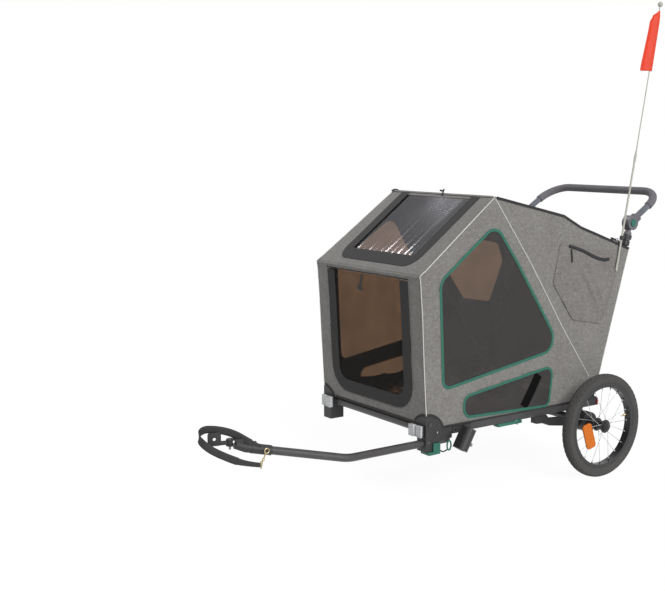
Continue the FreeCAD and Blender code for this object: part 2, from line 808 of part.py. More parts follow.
def push_handle():
    """A bent tube with a forked hub on each end, and the foam grip round its bar and arms."""
    across = Vector(0, 1, 0)
    hub = Vector(float(HANDLE_HUB[0]), 0, float(HANDLE_HUB[1]))
    bar = Vector(-mm.handle_bar_reach, 0, mm.handle_bar_z)
    run = (bar - hub).normalize()
    side = (float(CHEEK_IN) + float(CHEEK_OUT)) / 2
    start = hub + run * mm.handle_fork_length
    offset = across * side
    points = [start + offset, bar + offset, bar - offset, start - offset]
    grip_start = start + (bar - start) * HANDLE_GRIP_START_SHARE
    corner = (bar - grip_start).Length * HANDLE_CORNER_SHARE
    radii = [corner, corner]
    bore = mm.handle_tube / 2 - mm.frame_wall
    frame = pipe(points, radii, mm.handle_tube / 2).cut(pipe(points, radii, bore))
    grip_points = [grip_start + offset, bar + offset, bar - offset, grip_start - offset]
    grip = pipe(grip_points, radii, mm.grip_diameter / 2)
    grip = grip.cut(pipe(grip_points, radii, mm.handle_tube / 2 + mm.grip_clearance))
    node("handle_grip", shaped("handle_grip", grip))
    radius = mm.handle_hub_diameter / 2
    gap = mm.hub_play
    cheek_in = float(CHEEK_IN)
    cheek_out = float(CHEEK_OUT)
    eye_out = float(EYE_OUT) + gap
    turn = Rotation(Vector(0, 0, 1), run)
    aside = turn.multVec(Vector(-mm.handle_tube / 2, 0, 0))
    cheeks = []
    for low, high in ((cheek_in, float(EYE_IN) - gap), (eye_out, cheek_out)):
        disc = Part.makeCylinder(radius, high - low, hub + across * low, across)
        strap = Part.makeBox(mm.handle_tube, high - low, mm.handle_fork_length)
        strap.Placement = Placement(hub + across * low + aside, turn)
        cheeks += [disc, strap]
    bridge_reach = radius + mm.overrun
    bridge = Part.makeBox(mm.handle_tube, cheek_out - cheek_in, mm.handle_fork_length - bridge_reach)
    bridge.Placement = Placement(hub + run * bridge_reach + across * cheek_in + aside, turn)
    axle = Part.makeCylinder(mm.pivot_pin / 2, eye_out - cheek_in, hub + across * cheek_in, across)
    well_radius = mm.button_diameter / 2 + mm.button_clearance
    well_floor = hub + across * (eye_out + mm.button_floor)
    well = Part.makeCylinder(well_radius, mm.hub_cheek_outer, well_floor, across)
    left = joined(cheeks + [bridge, axle]).cut(well)
    whole = joined([frame, left, left.mirror(Vector(), across)])
    node("push_handle", shaped("push_handle", whole))
    button_end = CHEEK_OUT + S.button_proud
    button_start = button_end - S.button_length
    button = along_y("button_left", S.button_diameter / 2, HANDLE_HUB, button_start, button_end)
    node("handle_button_left", button)
    node("handle_button_right", mirrored("handle_button_right", button))


def wheel(side_name, source):
    """One wheel: tyre, rim, hub, bearings, spokes and reflector. The right one mirrors the left."""
    names = ("tyre", "rim", "hub", "hub_bearings", "spokes", "wheel_reflector")
    for name in names:
        label = f"{name}_{side_name}"
        node(label, source[name] if side_name == "left" else mirrored(label, source[name]))


def wheel_pieces():
    center = (0, WHEEL_SIDE, AXLE_Z)
    radius = AXLE_Z
    seat = radius - S.tyre_height
    section = S.tyre_width / 2
    torus = []
    for name, thickness in (("tyre_outside", section), ("tyre_inside", section - S.tyre_wall)):
        ring = doc.addObject("Part::Torus", name)
        bind(ring, "Radius1", radius - section)
        bind(ring, "Radius2", thickness)
        ring.Placement = Placement(Vector(), Rotation(Vector(0, 0, 1), Vector(0, 1, 0)))
        torus.append(put(ring, center))
    carcass = cut("tyre_carcass", torus[0], torus[1])
    half_rim = S.rim_width / 2
    mouth_start = (0, WHEEL_SIDE - S.tyre_width, AXLE_Z)
    mouth = rod("tyre_mouth", seat, mouth_start, (0, WHEEL_SIDE + S.tyre_width, AXLE_Z))
    pieces = {"tyre": cut("tyre", carcass, mouth)}
    inner = seat - S.rim_depth
    floor = inner + S.rim_wall
    web = half_rim - S.rim_wall
    rim_outline = [(inner, -half_rim), (seat, -half_rim), (seat, -web), (floor, -web),
                   (floor, web), (seat, web), (seat, half_rim), (inner, half_rim)]
    pieces["rim"] = turned("rim", rim_outline, center)
    hub_in = BOSS_OUT + S.hub_gap - WHEEL_SIDE
    hub_out = S.hub_outer_reach
    bore = S.axle_diameter / 2 + S.running_clearance
    seat_radius = S.bearing_diameter / 2
    barrel = S.hub_barrel_diameter / 2
    flange = S.hub_flange_diameter / 2
    near = -S.hub_flange_gap / 2
    far = S.hub_flange_gap / 2
    thick = S.hub_flange_thickness / 2
    wall = S.hub_cap_wall
    inner_seat = hub_in + S.bearing_width
    cap = hub_out - wall
    outer_seat = cap - S.bearing_width
    hub_outline = [
        (bore + wall, inner_seat), (seat_radius, inner_seat), (seat_radius, hub_in), (barrel, hub_in),
        (barrel, near - thick), (flange, near - thick), (flange, near + thick), (barrel, near + thick),
        (barrel, far - thick), (flange, far - thick), (flange, far + thick), (barrel, far + thick),
        (barrel, hub_out), (0, hub_out), (0, cap), (seat_radius, cap), (seat_radius, outer_seat),
        (bore + wall, outer_seat),
    ]
    pieces["hub"] = turned("hub", hub_outline, center)
    bearings = []
    for name, low in (("bearing_inner", hub_in), ("bearing_outer", outer_seat)):
        high = low + S.bearing_width
        ring = [(bore, low), (seat_radius, low), (seat_radius, high), (bore, high)]
        bearings.append(turned(name, ring, center))
    pieces["hub_bearings"] = group("hub_bearings", bearings)
    pieces["spokes"] = shaped("spokes", Part.makeCompound(spoke_solids(float(inner))))
    pieces["wheel_reflector"] = wheel_reflector(float(inner))
    return pieces


def spoke_solids(rim_inner):
    """Thin spokes that cross once on each side of the hub."""
    middle = Vector(0, float(WHEEL_SIDE), mm.wheel_diameter / 2)
    hub_radius = mm.hub_flange_diameter / 2 + mm.spoke_gap + mm.spoke_diameter / 2
    solids = []
    for i in range(SPOKES):
        side = 1 if i % 2 == 0 else -1
        lead = 1 if (i // 2) % 2 == 0 else -1
        rim_turn = math.radians(360 * i / SPOKES)
        hub_turn = rim_turn + math.radians(lead * SPOKE_CROSS_ANGLE)
        offset = side * (mm.hub_flange_gap / 2) + lead * mm.spoke_stagger / 2
        start = middle + Vector(hub_radius * math.cos(hub_turn), offset, hub_radius * math.sin(hub_turn))
        reach = rim_inner - mm.spoke_gap
        end = middle + Vector(reach * math.cos(rim_turn), 0, reach * math.sin(rim_turn))
        run = end - start
        solids.append(Part.makeCylinder(mm.spoke_diameter / 2, run.Length, start, run))
    return solids


def wheel_reflector(rim_inner):
    """An oblong reflector that lies on the outer spokes, tilted as they are."""
    length = mm.reflector_length
    width = mm.reflector_width
    end = width / 2
    top = length / 2
    corners = [Vector(-end, -top, 0), Vector(end, -top, 0), Vector(end, top, 0), Vector(-end, top, 0)]
    outline = rounded_outline(corners, [end * REFLECTOR_CORNER_SHARE] * len(corners))
    plate = Part.Face(outline).extrude(Vector(0, 0, mm.reflector_thickness))
    face_edges = [e for e in plate.Edges if e.BoundBox.ZMin > mm.reflector_thickness / 2]
    plate = plate.makeFillet(mm.reflector_round, face_edges)
    hub_radius = mm.hub_flange_diameter / 2
    tilt = math.atan2(mm.hub_flange_gap / 2 - mm.spoke_stagger / 2, rim_inner - hub_radius)
    outward = Vector(math.sin(tilt), math.cos(tilt), 0)
    radial = Vector(math.cos(tilt), -math.sin(tilt), 0)
    around = Vector(0, 0, 1)
    turn = Rotation(radial, around, outward, "ZXY")
    height = (rim_inner - mm.reflector_radius_place) * math.tan(tilt)
    lift = mm.spoke_diameter / 2 + mm.reflector_clip_gap
    plate.Placement = Placement(Vector(mm.reflector_radius_place, height, 0) + outward * lift, turn)
    plate.rotate(Vector(), Vector(0, 1, 0), -REFLECTOR_ANGLE)
    plate.translate(Vector(0, float(WHEEL_SIDE), mm.wheel_diameter / 2))
    return shaped("wheel_reflector", plate)


def side_wall_layer(outside, thickness):
    """The left wall's cloth: an upright part, and above the fold line a part that leans in to the ridge."""
    half = mm.cabin_width / 2 + outside
    lean = mm.ridge_inset
    fold_front = Vector(mm.front_fold_x, half, mm.front_fold_z)
    fold_rear = Vector(-mm.rear_top_reach, half, mm.rear_top_z)
    ridge = Vector(mm.ridge_x, half - lean, mm.ridge_z)

    def on_upper(x, z):
        share = (x - fold_rear.x) / (fold_front.x - fold_rear.x)
        fold_z = fold_rear.z + share * (fold_front.z - fold_rear.z)
        ridge_share = (ridge.x - fold_rear.x) / (fold_front.x - fold_rear.x)
        ridge_fold_z = fold_rear.z + ridge_share * (fold_front.z - fold_rear.z)
        return Vector(x, half - lean * (z - fold_z) / (ridge.z - ridge_fold_z), z)

    lower = [Vector(mm.front_foot_x, half, mm.cloth_bottom), fold_front, fold_rear,
             Vector(-mm.rear_foot_reach, half, mm.cloth_bottom)]
    sag = [on_upper(mm.sag_start_x, mm.sag_start_z), on_upper(mm.sag_end_x, mm.sag_end_z)]
    upper = [fold_front, ridge] + sag + [fold_rear]
    inward = Vector(0, -thickness, 0)
    return joined([facet(lower, inward), facet(upper, inward)])


def side_prism(shares, rounds, corner):
    """A rounded outline in the side view, as a block right through the left wall."""
    rise = mm.front_fold_z - mm.cloth_bottom + (mm.ridge_z - mm.front_fold_z)
    corners = [Vector(mm.ridge_x * u, 0, mm.cloth_bottom + rise * v) for u, v in shares]
    face = Part.Face(rounded_outline(corners, [corner * share for share in rounds]))
    return face.extrude(Vector(0, mm.cabin_width, 0))


def corner_clear(depth_axis):
    """Room in the cloth for a front corner bracket's dome, through the side or through the front."""
    radius = mm.dome_radius + mm.dome_cloth_gap
    if depth_axis == "side":
        start = Vector(mm.dome_center_x, 0, mm.dome_center_z)
        return Part.makeCylinder(radius, mm.cabin_width, start, Vector(0, 1, 0))
    side = float(BRACKET_OUT) - mm.dome_front_inset
    start = Vector(0, side, mm.dome_center_z)
    return Part.makeCylinder(radius, mm.front_fold_x + radius, start, Vector(1, 0, 0))


def rear_hinge_clear():
    """Room in the cloth for a rear hinge."""
    radius = mm.ear_radius + mm.overrun
    x, z = (float(size) for size in REAR_PIVOT)
    round_part = Part.makeCylinder(radius, mm.cabin_width, Vector(x, 0, z), Vector(0, 1, 0))
    block = Part.makeBox(2 * radius, mm.cabin_width, z, Vector(x - radius, 0, 0))
    return round_part.fuse(block)


def post_clear():
    """Room in the cloth for a handle post, which comes out at the rear top corner."""
    foot = Vector(float(REAR_PIVOT[0]), float(POST_SIDE), float(REAR_PIVOT[1]))
    hub = Vector(float(HANDLE_HUB[0]), float(POST_SIDE), float(HANDLE_HUB[1]))
    return Part.makeCylinder(mm.frame_tube / 2 + mm.overrun, (hub - foot).Length, foot, hub - foot)


def side_cloth():
    """Side walls with mesh windows. The left one has a pocket, the right one a vent of the same outline."""
    blank = side_wall_layer(0, mm.cloth)
    blank = blank.cut(corner_clear("side")).cut(rear_hinge_clear())
    mesh = side_wall_layer(-(mm.cloth - mm.mesh_cloth) / 2, mm.mesh_cloth)
    big = side_prism(BIG_WINDOW_SHARES, BIG_WINDOW_ROUNDS, mm.window_corner)
    wedge = side_prism(WEDGE_WINDOW_SHARES, WEDGE_WINDOW_ROUNDS, mm.wedge_corner)
    vent = side_prism(POCKET_SHARES, POCKET_ROUNDS, mm.pocket_corner)
    across = Vector(0, 1, 0)
    above = Vector(-mm.cabin_width, 0, mm.rear_top_z)
    upper_post = post_clear().common(Part.makeBox(mm.cabin_width, mm.cabin_width, mm.ridge_z, above))
    left = blank.cut(big).cut(wedge).cut(upper_post)
    right = left.cut(vent).mirror(Vector(), across)
    node("side_panel_left", shaped("side_panel_left", left))
    node("side_panel_right", shaped("side_panel_right", right))
    windows = [mesh.common(big), mesh.common(wedge)]
    node("side_windows_left", shaped("side_windows_left", Part.makeCompound(windows)))
    others = [w.mirror(Vector(), across) for w in windows + [mesh.common(vent)]]
    node("side_windows_right", shaped("side_windows_right", Part.makeCompound(others)))
    pouch = side_wall_layer(mm.pocket_thickness, mm.pocket_thickness).common(vent)
    node("side_pocket", shaped("side_pocket", pouch))


def strip(stations, thickness):
    """Cloth across the trailer through a row of places: x, z and half width."""
    pieces = []
    for (x0, z0, w0), (x1, z1, w1) in zip(stations, stations[1:]):
        corners = [Vector(x0, -w0, z0), Vector(x0, w0, z0), Vector(x1, w1, z1), Vector(x1, -w1, z1)]
        pieces.append(facet(corners, thickness))
    return pieces[0] if len(pieces) == 1 else joined(pieces)


def front_plane_x(z):
    share = (z - mm.cloth_bottom) / (mm.front_fold_z - mm.cloth_bottom)
    return mm.front_foot_x + share * (mm.front_fold_x - mm.front_foot_x)


def door_prism(grow):
    """The door's outline with round lower corners, as a block through the front wall."""
    half = mm.cabin_width / 2 - mm.door_side_margin + grow
    low = mm.door_bottom - grow
    high = mm.door_top + grow
    small = mm.pocket_corner
    corners = [Vector(0, -half, low), Vector(0, half, low), Vector(0, half, high), Vector(0, -half, high)]
    outline = rounded_outline(corners, [mm.door_corner, mm.door_corner, small, small])
    return Part.Face(outline).extrude(Vector(mm.front_fold_x * 2, 0, 0))


def end_cloth():
    """Front wall with its mesh door, roof with its clear window, rear roof and rear wall."""
    half = mm.cabin_width / 2 - mm.cloth
    ridge_half = half - mm.ridge_inset
    across = Vector(0, 1, 0)
    inward = Vector(-mm.cloth, 0, 0)
    down = Vector(0, 0, -mm.cloth)
    low = mm.front_cloth_bottom
    front = strip([(front_plane_x(low), low, half), (mm.front_fold_x, mm.front_fold_z, half)], inward)
    clear = corner_clear("front")
    front = front.cut(clear).cut(clear.mirror(Vector(), across))
    node("front_panel", shaped("front_panel", front.cut(door_prism(mm.door_gap))))
    node("front_door", shaped("front_door", front.common(door_prism(0))))
    eaves = (mm.front_fold_x, mm.front_fold_z, half)
    roof = strip([eaves, (mm.ridge_x, mm.ridge_z, ridge_half)], down).cut(front)
    window_half = mm.cabin_width / 2 - mm.roof_window_margin
    window_front = mm.roof_window_front_x
    window_rear = mm.roof_window_rear_x
    corners = [Vector(window_front, -window_half, 0), Vector(window_front, window_half, 0),
               Vector(window_rear, window_half, 0), Vector(window_rear, -window_half, 0)]
    outline = rounded_outline(corners, [mm.roof_window_corner] * len(corners))
    window = Part.Face(outline).extrude(Vector(0, 0, 2 * mm.ridge_z))
    node("roof_panel", shaped("roof_panel", largest(roof.cut(window))))
    film_drop = (mm.cloth - mm.mesh_cloth) / 2
    film_front = (mm.front_fold_x, mm.front_fold_z - film_drop, half)
    film_rear = (mm.ridge_x, mm.ridge_z - film_drop, ridge_half)
    film = strip([film_front, film_rear], Vector(0, 0, -mm.mesh_cloth))
    node("roof_window", shaped("roof_window", film.common(window)))
    sag = side_sag_stations(ridge_half, half)
    rear_roof = strip(sag, down)
    posts = post_clear()
    rear_roof = rear_roof.cut(posts).cut(posts.mirror(Vector(), across))
    rear_foot = (-mm.rear_foot_reach, mm.cloth_bottom, half)
    rear = strip([(-mm.rear_top_reach, mm.rear_top_z, half), rear_foot], Vector(mm.cloth, 0, 0))
    corner = Vector(-mm.cabin_width / 2, mm.cabin_width * REAR_NOTCH_SHARE, 0)
    corner_block = Part.makeBox(mm.cabin_width, mm.cabin_width, mm.ridge_z, corner)
    hinge = rear_hinge_clear().common(corner_block)
    rear = rear.cut(rear_roof).cut(hinge).cut(hinge.mirror(Vector(), across))
    rear = rear.cut(posts).cut(posts.mirror(Vector(), across))
    node("rear_roof_panel", shaped("rear_roof_panel", largest(rear_roof)))
    node("rear_panel", shaped("rear_panel", rear))


def side_sag_stations(ridge_half, half):
    """Places along the rear roof with the half width that the side walls leave there."""
    lean = half - ridge_half
    front = (mm.front_fold_x, mm.front_fold_z)
    rear = (-mm.rear_top_reach, mm.rear_top_z)

    def fold_z(x):
        return rear[1] + (x - rear[0]) / (front[0] - rear[0]) * (front[1] - rear[1])

    full = mm.ridge_z - fold_z(mm.ridge_x)
    places = [(mm.ridge_x, mm.ridge_z), (mm.sag_start_x, mm.sag_start_z), (mm.sag_end_x, mm.sag_end_z), rear]
    return [(x, z, half - lean * (z - fold_z(x)) / full) for x, z in places]


FLAG_SIDE = HALF_CABIN + S.flag_side_gap


def flag():
    """A two-part rod with a ball on top, the clip that holds it on the post collar, and a limp pennant."""
    foot = (-S.flag_foot_reach, FLAG_SIDE, S.flag_foot_z)
    joint = (-S.flag_joint_reach, FLAG_SIDE, S.flag_joint_z)
    top = (-S.flag_top_reach, FLAG_SIDE, S.flag_top_z)
    lower = rod("flag_lower", S.flag_rod_diameter / 2, foot, joint)
    start = vector(joint)
    run = vector(top) - start
    upper = Part.makeCylinder(mm.flag_top_diameter / 2, run.Length, start, run)
    low_run = start - vector(foot)
    half_ferrule = mm.flag_ferrule_length / 2
    ferrule_radius = mm.flag_ferrule_diameter / 2
    ferrule_start = start - low_run.normalize() * half_ferrule
    ferrule = Part.makeCylinder(ferrule_radius, half_ferrule + mm.flag_ferrule_lip, ferrule_start, low_run)
    cone_end = mm.flag_top_diameter / 2 + mm.flag_ferrule_step
    cone = Part.makeCone(ferrule_radius - mm.flag_ferrule_step, cone_end, half_ferrule, start, run)
    tip = Part.makeSphere(mm.flag_tip_diameter / 2, vector(top))
    thin = shaped("flag_upper", joined([ferrule, cone, upper, tip]))
    node("flag_rod", fuse("flag_rod", [lower, thin]))
    clip(vector(foot), low_run)
    pennant(vector(top), run)


def clip(foot, run):
    """A black clip: one ring round the rod, a web, and a saddle on the post collar."""
    rod_ring = mm.flag_rod_diameter / 2 + mm.flag_clip_wall
    place = foot + run * mm.flag_clip_along
    post_foot = Vector(float(REAR_PIVOT[0]), float(POST_SIDE), float(REAR_PIVOT[1]))
    post_hub = Vector(float(HANDLE_HUB[0]), float(POST_SIDE), float(HANDLE_HUB[1]))
    post_run = (post_hub - post_foot).normalize()
    reach = (place.z - post_foot.z) / post_run.z
    post = post_foot + post_run * reach
    height = mm.flag_clip_height
    ring = Part.makeCylinder(rod_ring, height, place, run)
    saddle = Part.makeCylinder(mm.collar_diameter / 2 + mm.flag_clip_wall, height, post, post_run)
    link = place - post
    web = Part.makeBox(link.Length, mm.flag_clip_wall, height)
    angle = math.degrees(math.atan2(link.y, link.x))
    web.Placement = Placement(post + Vector(0, -mm.flag_clip_wall / 2, 0), Rotation(Vector(0, 0, 1), angle))
    whole = joined([ring, saddle, web])
    reach = 2 * height
    rod_radius = mm.flag_rod_diameter / 2 + mm.flag_clearance
    rod_bore = Part.makeCylinder(rod_radius, 2 * reach, place - run * reach, run)
    post_bore = Part.makeCylinder(mm.collar_diameter / 2, 2 * reach, post - post_run * reach, post_run)
    node("flag_clip", shaped("flag_clip", whole.cut(rod_bore).cut(post_bore)))


def pennant(top, run):
    """Limp cloth that hangs in front of the rod in upright folds, with its hem just behind the rod."""
    along = run.normalize()
    head = top - along * (mm.flag_tip_diameter / 2 + mm.pennant_top_gap)
    ahead = Vector(1, 0, 0)
    out = Vector(0, 1, 0)
    half = mm.pennant_thickness / 2
    beside = mm.flag_top_diameter / 2 + mm.pennant_gap + half
    rings = []
    for drop_share, width_share in PENNANT_CUT_SHARES:
        base = head - along * (mm.pennant_drop * drop_share) + out * beside
        width = mm.pennant_width * width_share
        fold = mm.pennant_fold * width_share
        middle = [base + ahead * (width * u) + out * (fold * v) for u, v in PENNANT_FOLD_SHARES]
        ring = [point + out * half for point in middle]
        ring += [point - out * half for point in reversed(middle)]
        rings.append(Part.makePolygon(ring + ring[:1]))
    node("flag_pennant", shaped("flag_pennant", Part.makeLoft(rings, True, True)))


TOW_REAR = (S.tow_bar_rear_x, TOW_SIDE, S.tow_bar_z)
TOW_BEND = (S.tow_bend_x, TOW_SIDE, S.tow_bar_z)
TOW_END = (S.tow_end_x, TOW_SIDE - S.tow_end_shift, S.tow_end_z)


def tow_bar():
    """The bent bar, the collar near its end with a lug for the hook, and the socket with its clevis."""
    points = [vector(TOW_REAR), vector(TOW_BEND), vector(TOW_END)]
    radius = mm.tow_bar_diameter / 2
    bend = [mm.tow_bend_radius]
    bar = pipe(points, bend, radius).cut(pipe(points, bend, radius - mm.tube_wall))
    node("tow_bar", shaped("tow_bar", bar))
    end = points[2]
    run = (end - points[1]).normalize()
    collar_start = end - run * mm.tow_collar_length
    collar_radius = mm.tow_collar_diameter / 2
    collar = Part.makeCylinder(collar_radius, mm.tow_collar_length, collar_start, run)
    lug_place = end - run * (mm.tow_collar_length * COLLAR_LUG_SHARE)
    lug = Part.makeCylinder(mm.hook_wire, mm.hook_lug_reach + collar_radius, lug_place, Vector(0, 1, 0))
    strap_foot = end - run * (mm.strap_lug_length + mm.strap_lug_inset)
    strap_lug_height = collar_radius + mm.strap_width + mm.clevis_lug
    strap_lug = Part.makeBox(mm.strap_lug_length, mm.strap_lug_width, strap_lug_height)
    turn = Rotation(Vector(0, 0, 1), math.degrees(math.atan2(run.y, run.x)))
    strap_lug.Placement = Placement(strap_foot + turn.multVec(Vector(0, -mm.strap_lug_width / 2, 0)), turn)
    collar = joined([collar, lug, strap_lug])
    bore_start = collar_start - run * mm.overrun
    bore_length = mm.tow_collar_length + 2 * mm.overrun
    bore = Part.makeCylinder(radius + mm.tow_collar_clearance, bore_length, bore_start, run)
    node("bar_collar", shaped("bar_collar", collar.cut(bore)))
    hitch(end, run)


def hitch(end, bar_run):
    """The socket ends in a clevis, and the plate's barrel turns in it on an upright pin."""
    pin = Vector(mm.hitch_pin_x, float(TOW_SIDE) - mm.hitch_pin_shift, mm.hitch_pin_z)
    up = Vector(0, 0, 1)
    radius = mm.socket_diameter / 2
    knee = end + bar_run * mm.socket_knee
    run = (pin - knee).normalize()
    start = Part.makeCylinder(radius, mm.socket_knee, end, bar_run)
    socket = Part.makeCylinder(radius, mm.socket_length, knee, run)
    half_barrel = mm.barrel_height / 2 + mm.clevis_gap
    lug_height = half_barrel + mm.clevis_lug
    tongue_foot = knee + run * (mm.socket_length * TONGUE_START_SHARE)
    flat = Vector(pin.x - tongue_foot.x, pin.y - tongue_foot.y, 0)
    tongue = Part.makeBox(flat.Length, 2 * mm.clevis_radius, 2 * lug_height)
    turn = Rotation(Vector(0, 0, 1), math.degrees(math.atan2(flat.y, flat.x)))
    corner = Vector(tongue_foot.x, tongue_foot.y, pin.z - lug_height)
    tongue.Placement = Placement(corner + turn.multVec(Vector(0, -mm.clevis_radius, 0)), turn)
    lugs = Part.makeCylinder(mm.clevis_radius, 2 * lug_height, pin - up * lug_height, up)
    whole = joined([start, Part.makeSphere(radius, knee), socket, tongue, lugs])
    turning_room = mm.barrel_diameter / 2 + mm.clevis_radius
    slot = Part.makeCylinder(turning_room, 2 * half_barrel, pin - up * half_barrel, up)
    hole = Part.makeCylinder(mm.hitch_pin_diameter / 2, 4 * lug_height, pin - up * (2 * lug_height), up)
    node("hitch_socket", shaped("hitch_socket", whole.cut(slot).cut(hole)))
    pin_low = pin - up * (lug_height + mm.hitch_pin_overhang)
    pin_high = pin + up * lug_height
    shank = Part.makeCylinder(mm.hitch_pin_diameter / 2, pin_high.z - pin_low.z, pin_low, up)
    head = Part.makeCylinder(mm.hitch_pin_diameter * PIN_HEAD_SHARE, mm.pin_head_height, pin_high, up)
    node("hitch_pin", shaped("hitch_pin", shank.fuse(head).removeSplitter()))
    hitch_plate(pin)


def hitch_plate(pin):
    """A barrel on the pin and an upright plate with the hole that goes on the bicycle's axle."""
    up = Vector(0, 0, 1)
    eye = Vector(mm.hitch_eye_x, float(TOW_SIDE) - mm.hitch_eye_shift, mm.hitch_eye_z)
    flat = Vector(eye.x - pin.x, eye.y - pin.y, 0)
    turn = Rotation(Vector(0, 0, 1), math.degrees(math.atan2(flat.y, flat.x)))
    across = turn.multVec(Vector(0, 1, 0))
    half = mm.barrel_height / 2
    barrel = Part.makeCylinder(mm.barrel_diameter / 2, mm.barrel_height, pin - up * half, up)
    thick = mm.hitch_plate_thickness
    web = Part.makeBox(flat.Length, thick, mm.barrel_height)
    web.Placement = Placement(pin - up * half - across * (thick / 2), turn)
    edge = mm.hitch_plate_size / 2
    corners = [Vector(-edge, 0, -edge), Vector(edge, 0, -edge), Vector(edge, 0, edge), Vector(-edge, 0, edge)]
    face = Part.Face(rounded_outline(corners, [mm.hitch_plate_round] * len(corners)))
    plate = face.extrude(Vector(0, thick, 0))
    plate.Placement = Placement(eye - across * (thick / 2), turn)
    whole = joined([barrel, web, plate])
    pin_hole_radius = mm.hitch_pin_diameter / 2 + mm.running_clearance
    hole = Part.makeCylinder(pin_hole_radius, 2 * mm.barrel_height, pin - up * mm.barrel_height, up)
    eye_hole = Part.makeCylinder(mm.hitch_eye_bore / 2, 4 * thick, eye - across * (2 * thick), across)
    node("hitch_plate", shaped("hitch_plate", whole.cut(hole).cut(eye_hole)))


def safety_strap():
    """Flat webbing on edge, from the lug on the collar round a loop to the snap hook."""
    points = [Vector(x, float(TOW_SIDE) + y, z) for x, y, z in STRAP_ROUTE]
    radii = []
    for before, here, after in zip(points, points[1:], points[2:]):
        turn = math.pi - (before - here).getAngle(after - here)
        shorter = min((here - before).Length, (after - here).Length)
        radii.append(STRAP_ARC_SHARE * shorter / math.tan(turn / 2))
    route = bent_route(points, radii)
    print("strap arc radii", [round(r) for r in radii], "length", round(route.Length))
    run = (points[1] - points[0]).normalize()
    across = Vector(0, 0, 1).cross(run).normalize()
    up = run.cross(across)
    wide = up * (mm.strap_width / 2)
    thick = across * (mm.strap_thickness / 2)
    foot = points[0]
    ring = [foot - wide - thick, foot + wide - thick, foot + wide + thick, foot - wide + thick]
    strap = route.makePipeShell([Part.makePolygon(ring + ring[:1])], True, False)
    full = mm.strap_width * mm.strap_thickness * route.Length
    print("strap volume over section times length", round(strap.Volume / full, 3))
    node("safety_strap", shaped("safety_strap", strap))
    snap_hook(points[-1])


def snap_hook(strap_end):
    """A brass hook: an eye at the strap's end, a shank, and a ring on the collar's lug."""
    end = vector(TOW_END)
    run = (end - vector(TOW_BEND)).normalize()
    lug = end - run * (mm.tow_collar_length * COLLAR_LUG_SHARE)
    lug_tip = lug + Vector(0, mm.tow_collar_diameter / 2 + mm.hook_lug_reach, 0)
    wire = mm.hook_wire / 2
    ring_center = lug_tip - Vector(0, wire + mm.clevis_gap, 0)
    ring = Part.makeTorus(mm.hook_ring / 2, wire, ring_center, Vector(0, 1, 0))
    foot = strap_end + Vector(-mm.hook_ring / 2, 0, 0)
    shank_top = ring_center + (foot - ring_center).normalize() * (mm.hook_ring / 2)
    shank_run = foot - shank_top
    shank = Part.makeCylinder(wire, shank_run.Length, shank_top, shank_run)
    swivel = Part.makeSphere(mm.hook_wire, shank_top + shank_run * HOOK_SWIVEL_SHARE)
    bar_run = Vector(0, 0, mm.strap_width)
    bar_foot = foot - bar_run / 2
    bar = Part.makeCylinder(wire, mm.strap_width, bar_foot, bar_run)
    node("snap_hook", shaped("snap_hook", joined([ring, shank, swivel, bar])))


def tow_latch():
    """A coloured latch under the column, with a turned-down finger tab at its rear end."""
    front = S.bracket_front_x
    top = S.column_bottom - S.latch_gap
    low = top - S.latch_height
    mid = BRACKET_OUT - S.column_width / 2
    start = mid - S.latch_width / 2
    outline = [(front, top), (front - S.latch_length, top), (front - S.latch_length, low - S.latch_tab_drop),
               (front - S.latch_length + S.latch_tab_length, low - S.latch_tab_drop),
               (front - S.latch_length + S.latch_tab_length, low), (front, low)]
    node("tow_latch", padded("tow_latch", "XZ_Plane", outline, S.latch_width, (0, start, 0)))


def fold_slider():
    """A coloured slider under the left rail, with a lip up its outer face."""
    front = S.slider_front_x
    rear = front - S.slider_length
    top = RAIL_BOTTOM - S.slider_gap
    out = RAIL_OUT + S.slider_gap
    outline = [(RAIL_IN, top), (RAIL_IN, top - S.slider_height), (out + S.slider_lip, top - S.slider_height),
               (out + S.slider_lip, top + S.slider_lip_height), (out, top + S.slider_lip_height), (out, top)]
    node("fold_slider", padded("fold_slider", "YZ_Plane", outline, S.slider_length, (rear, 0, 0)))


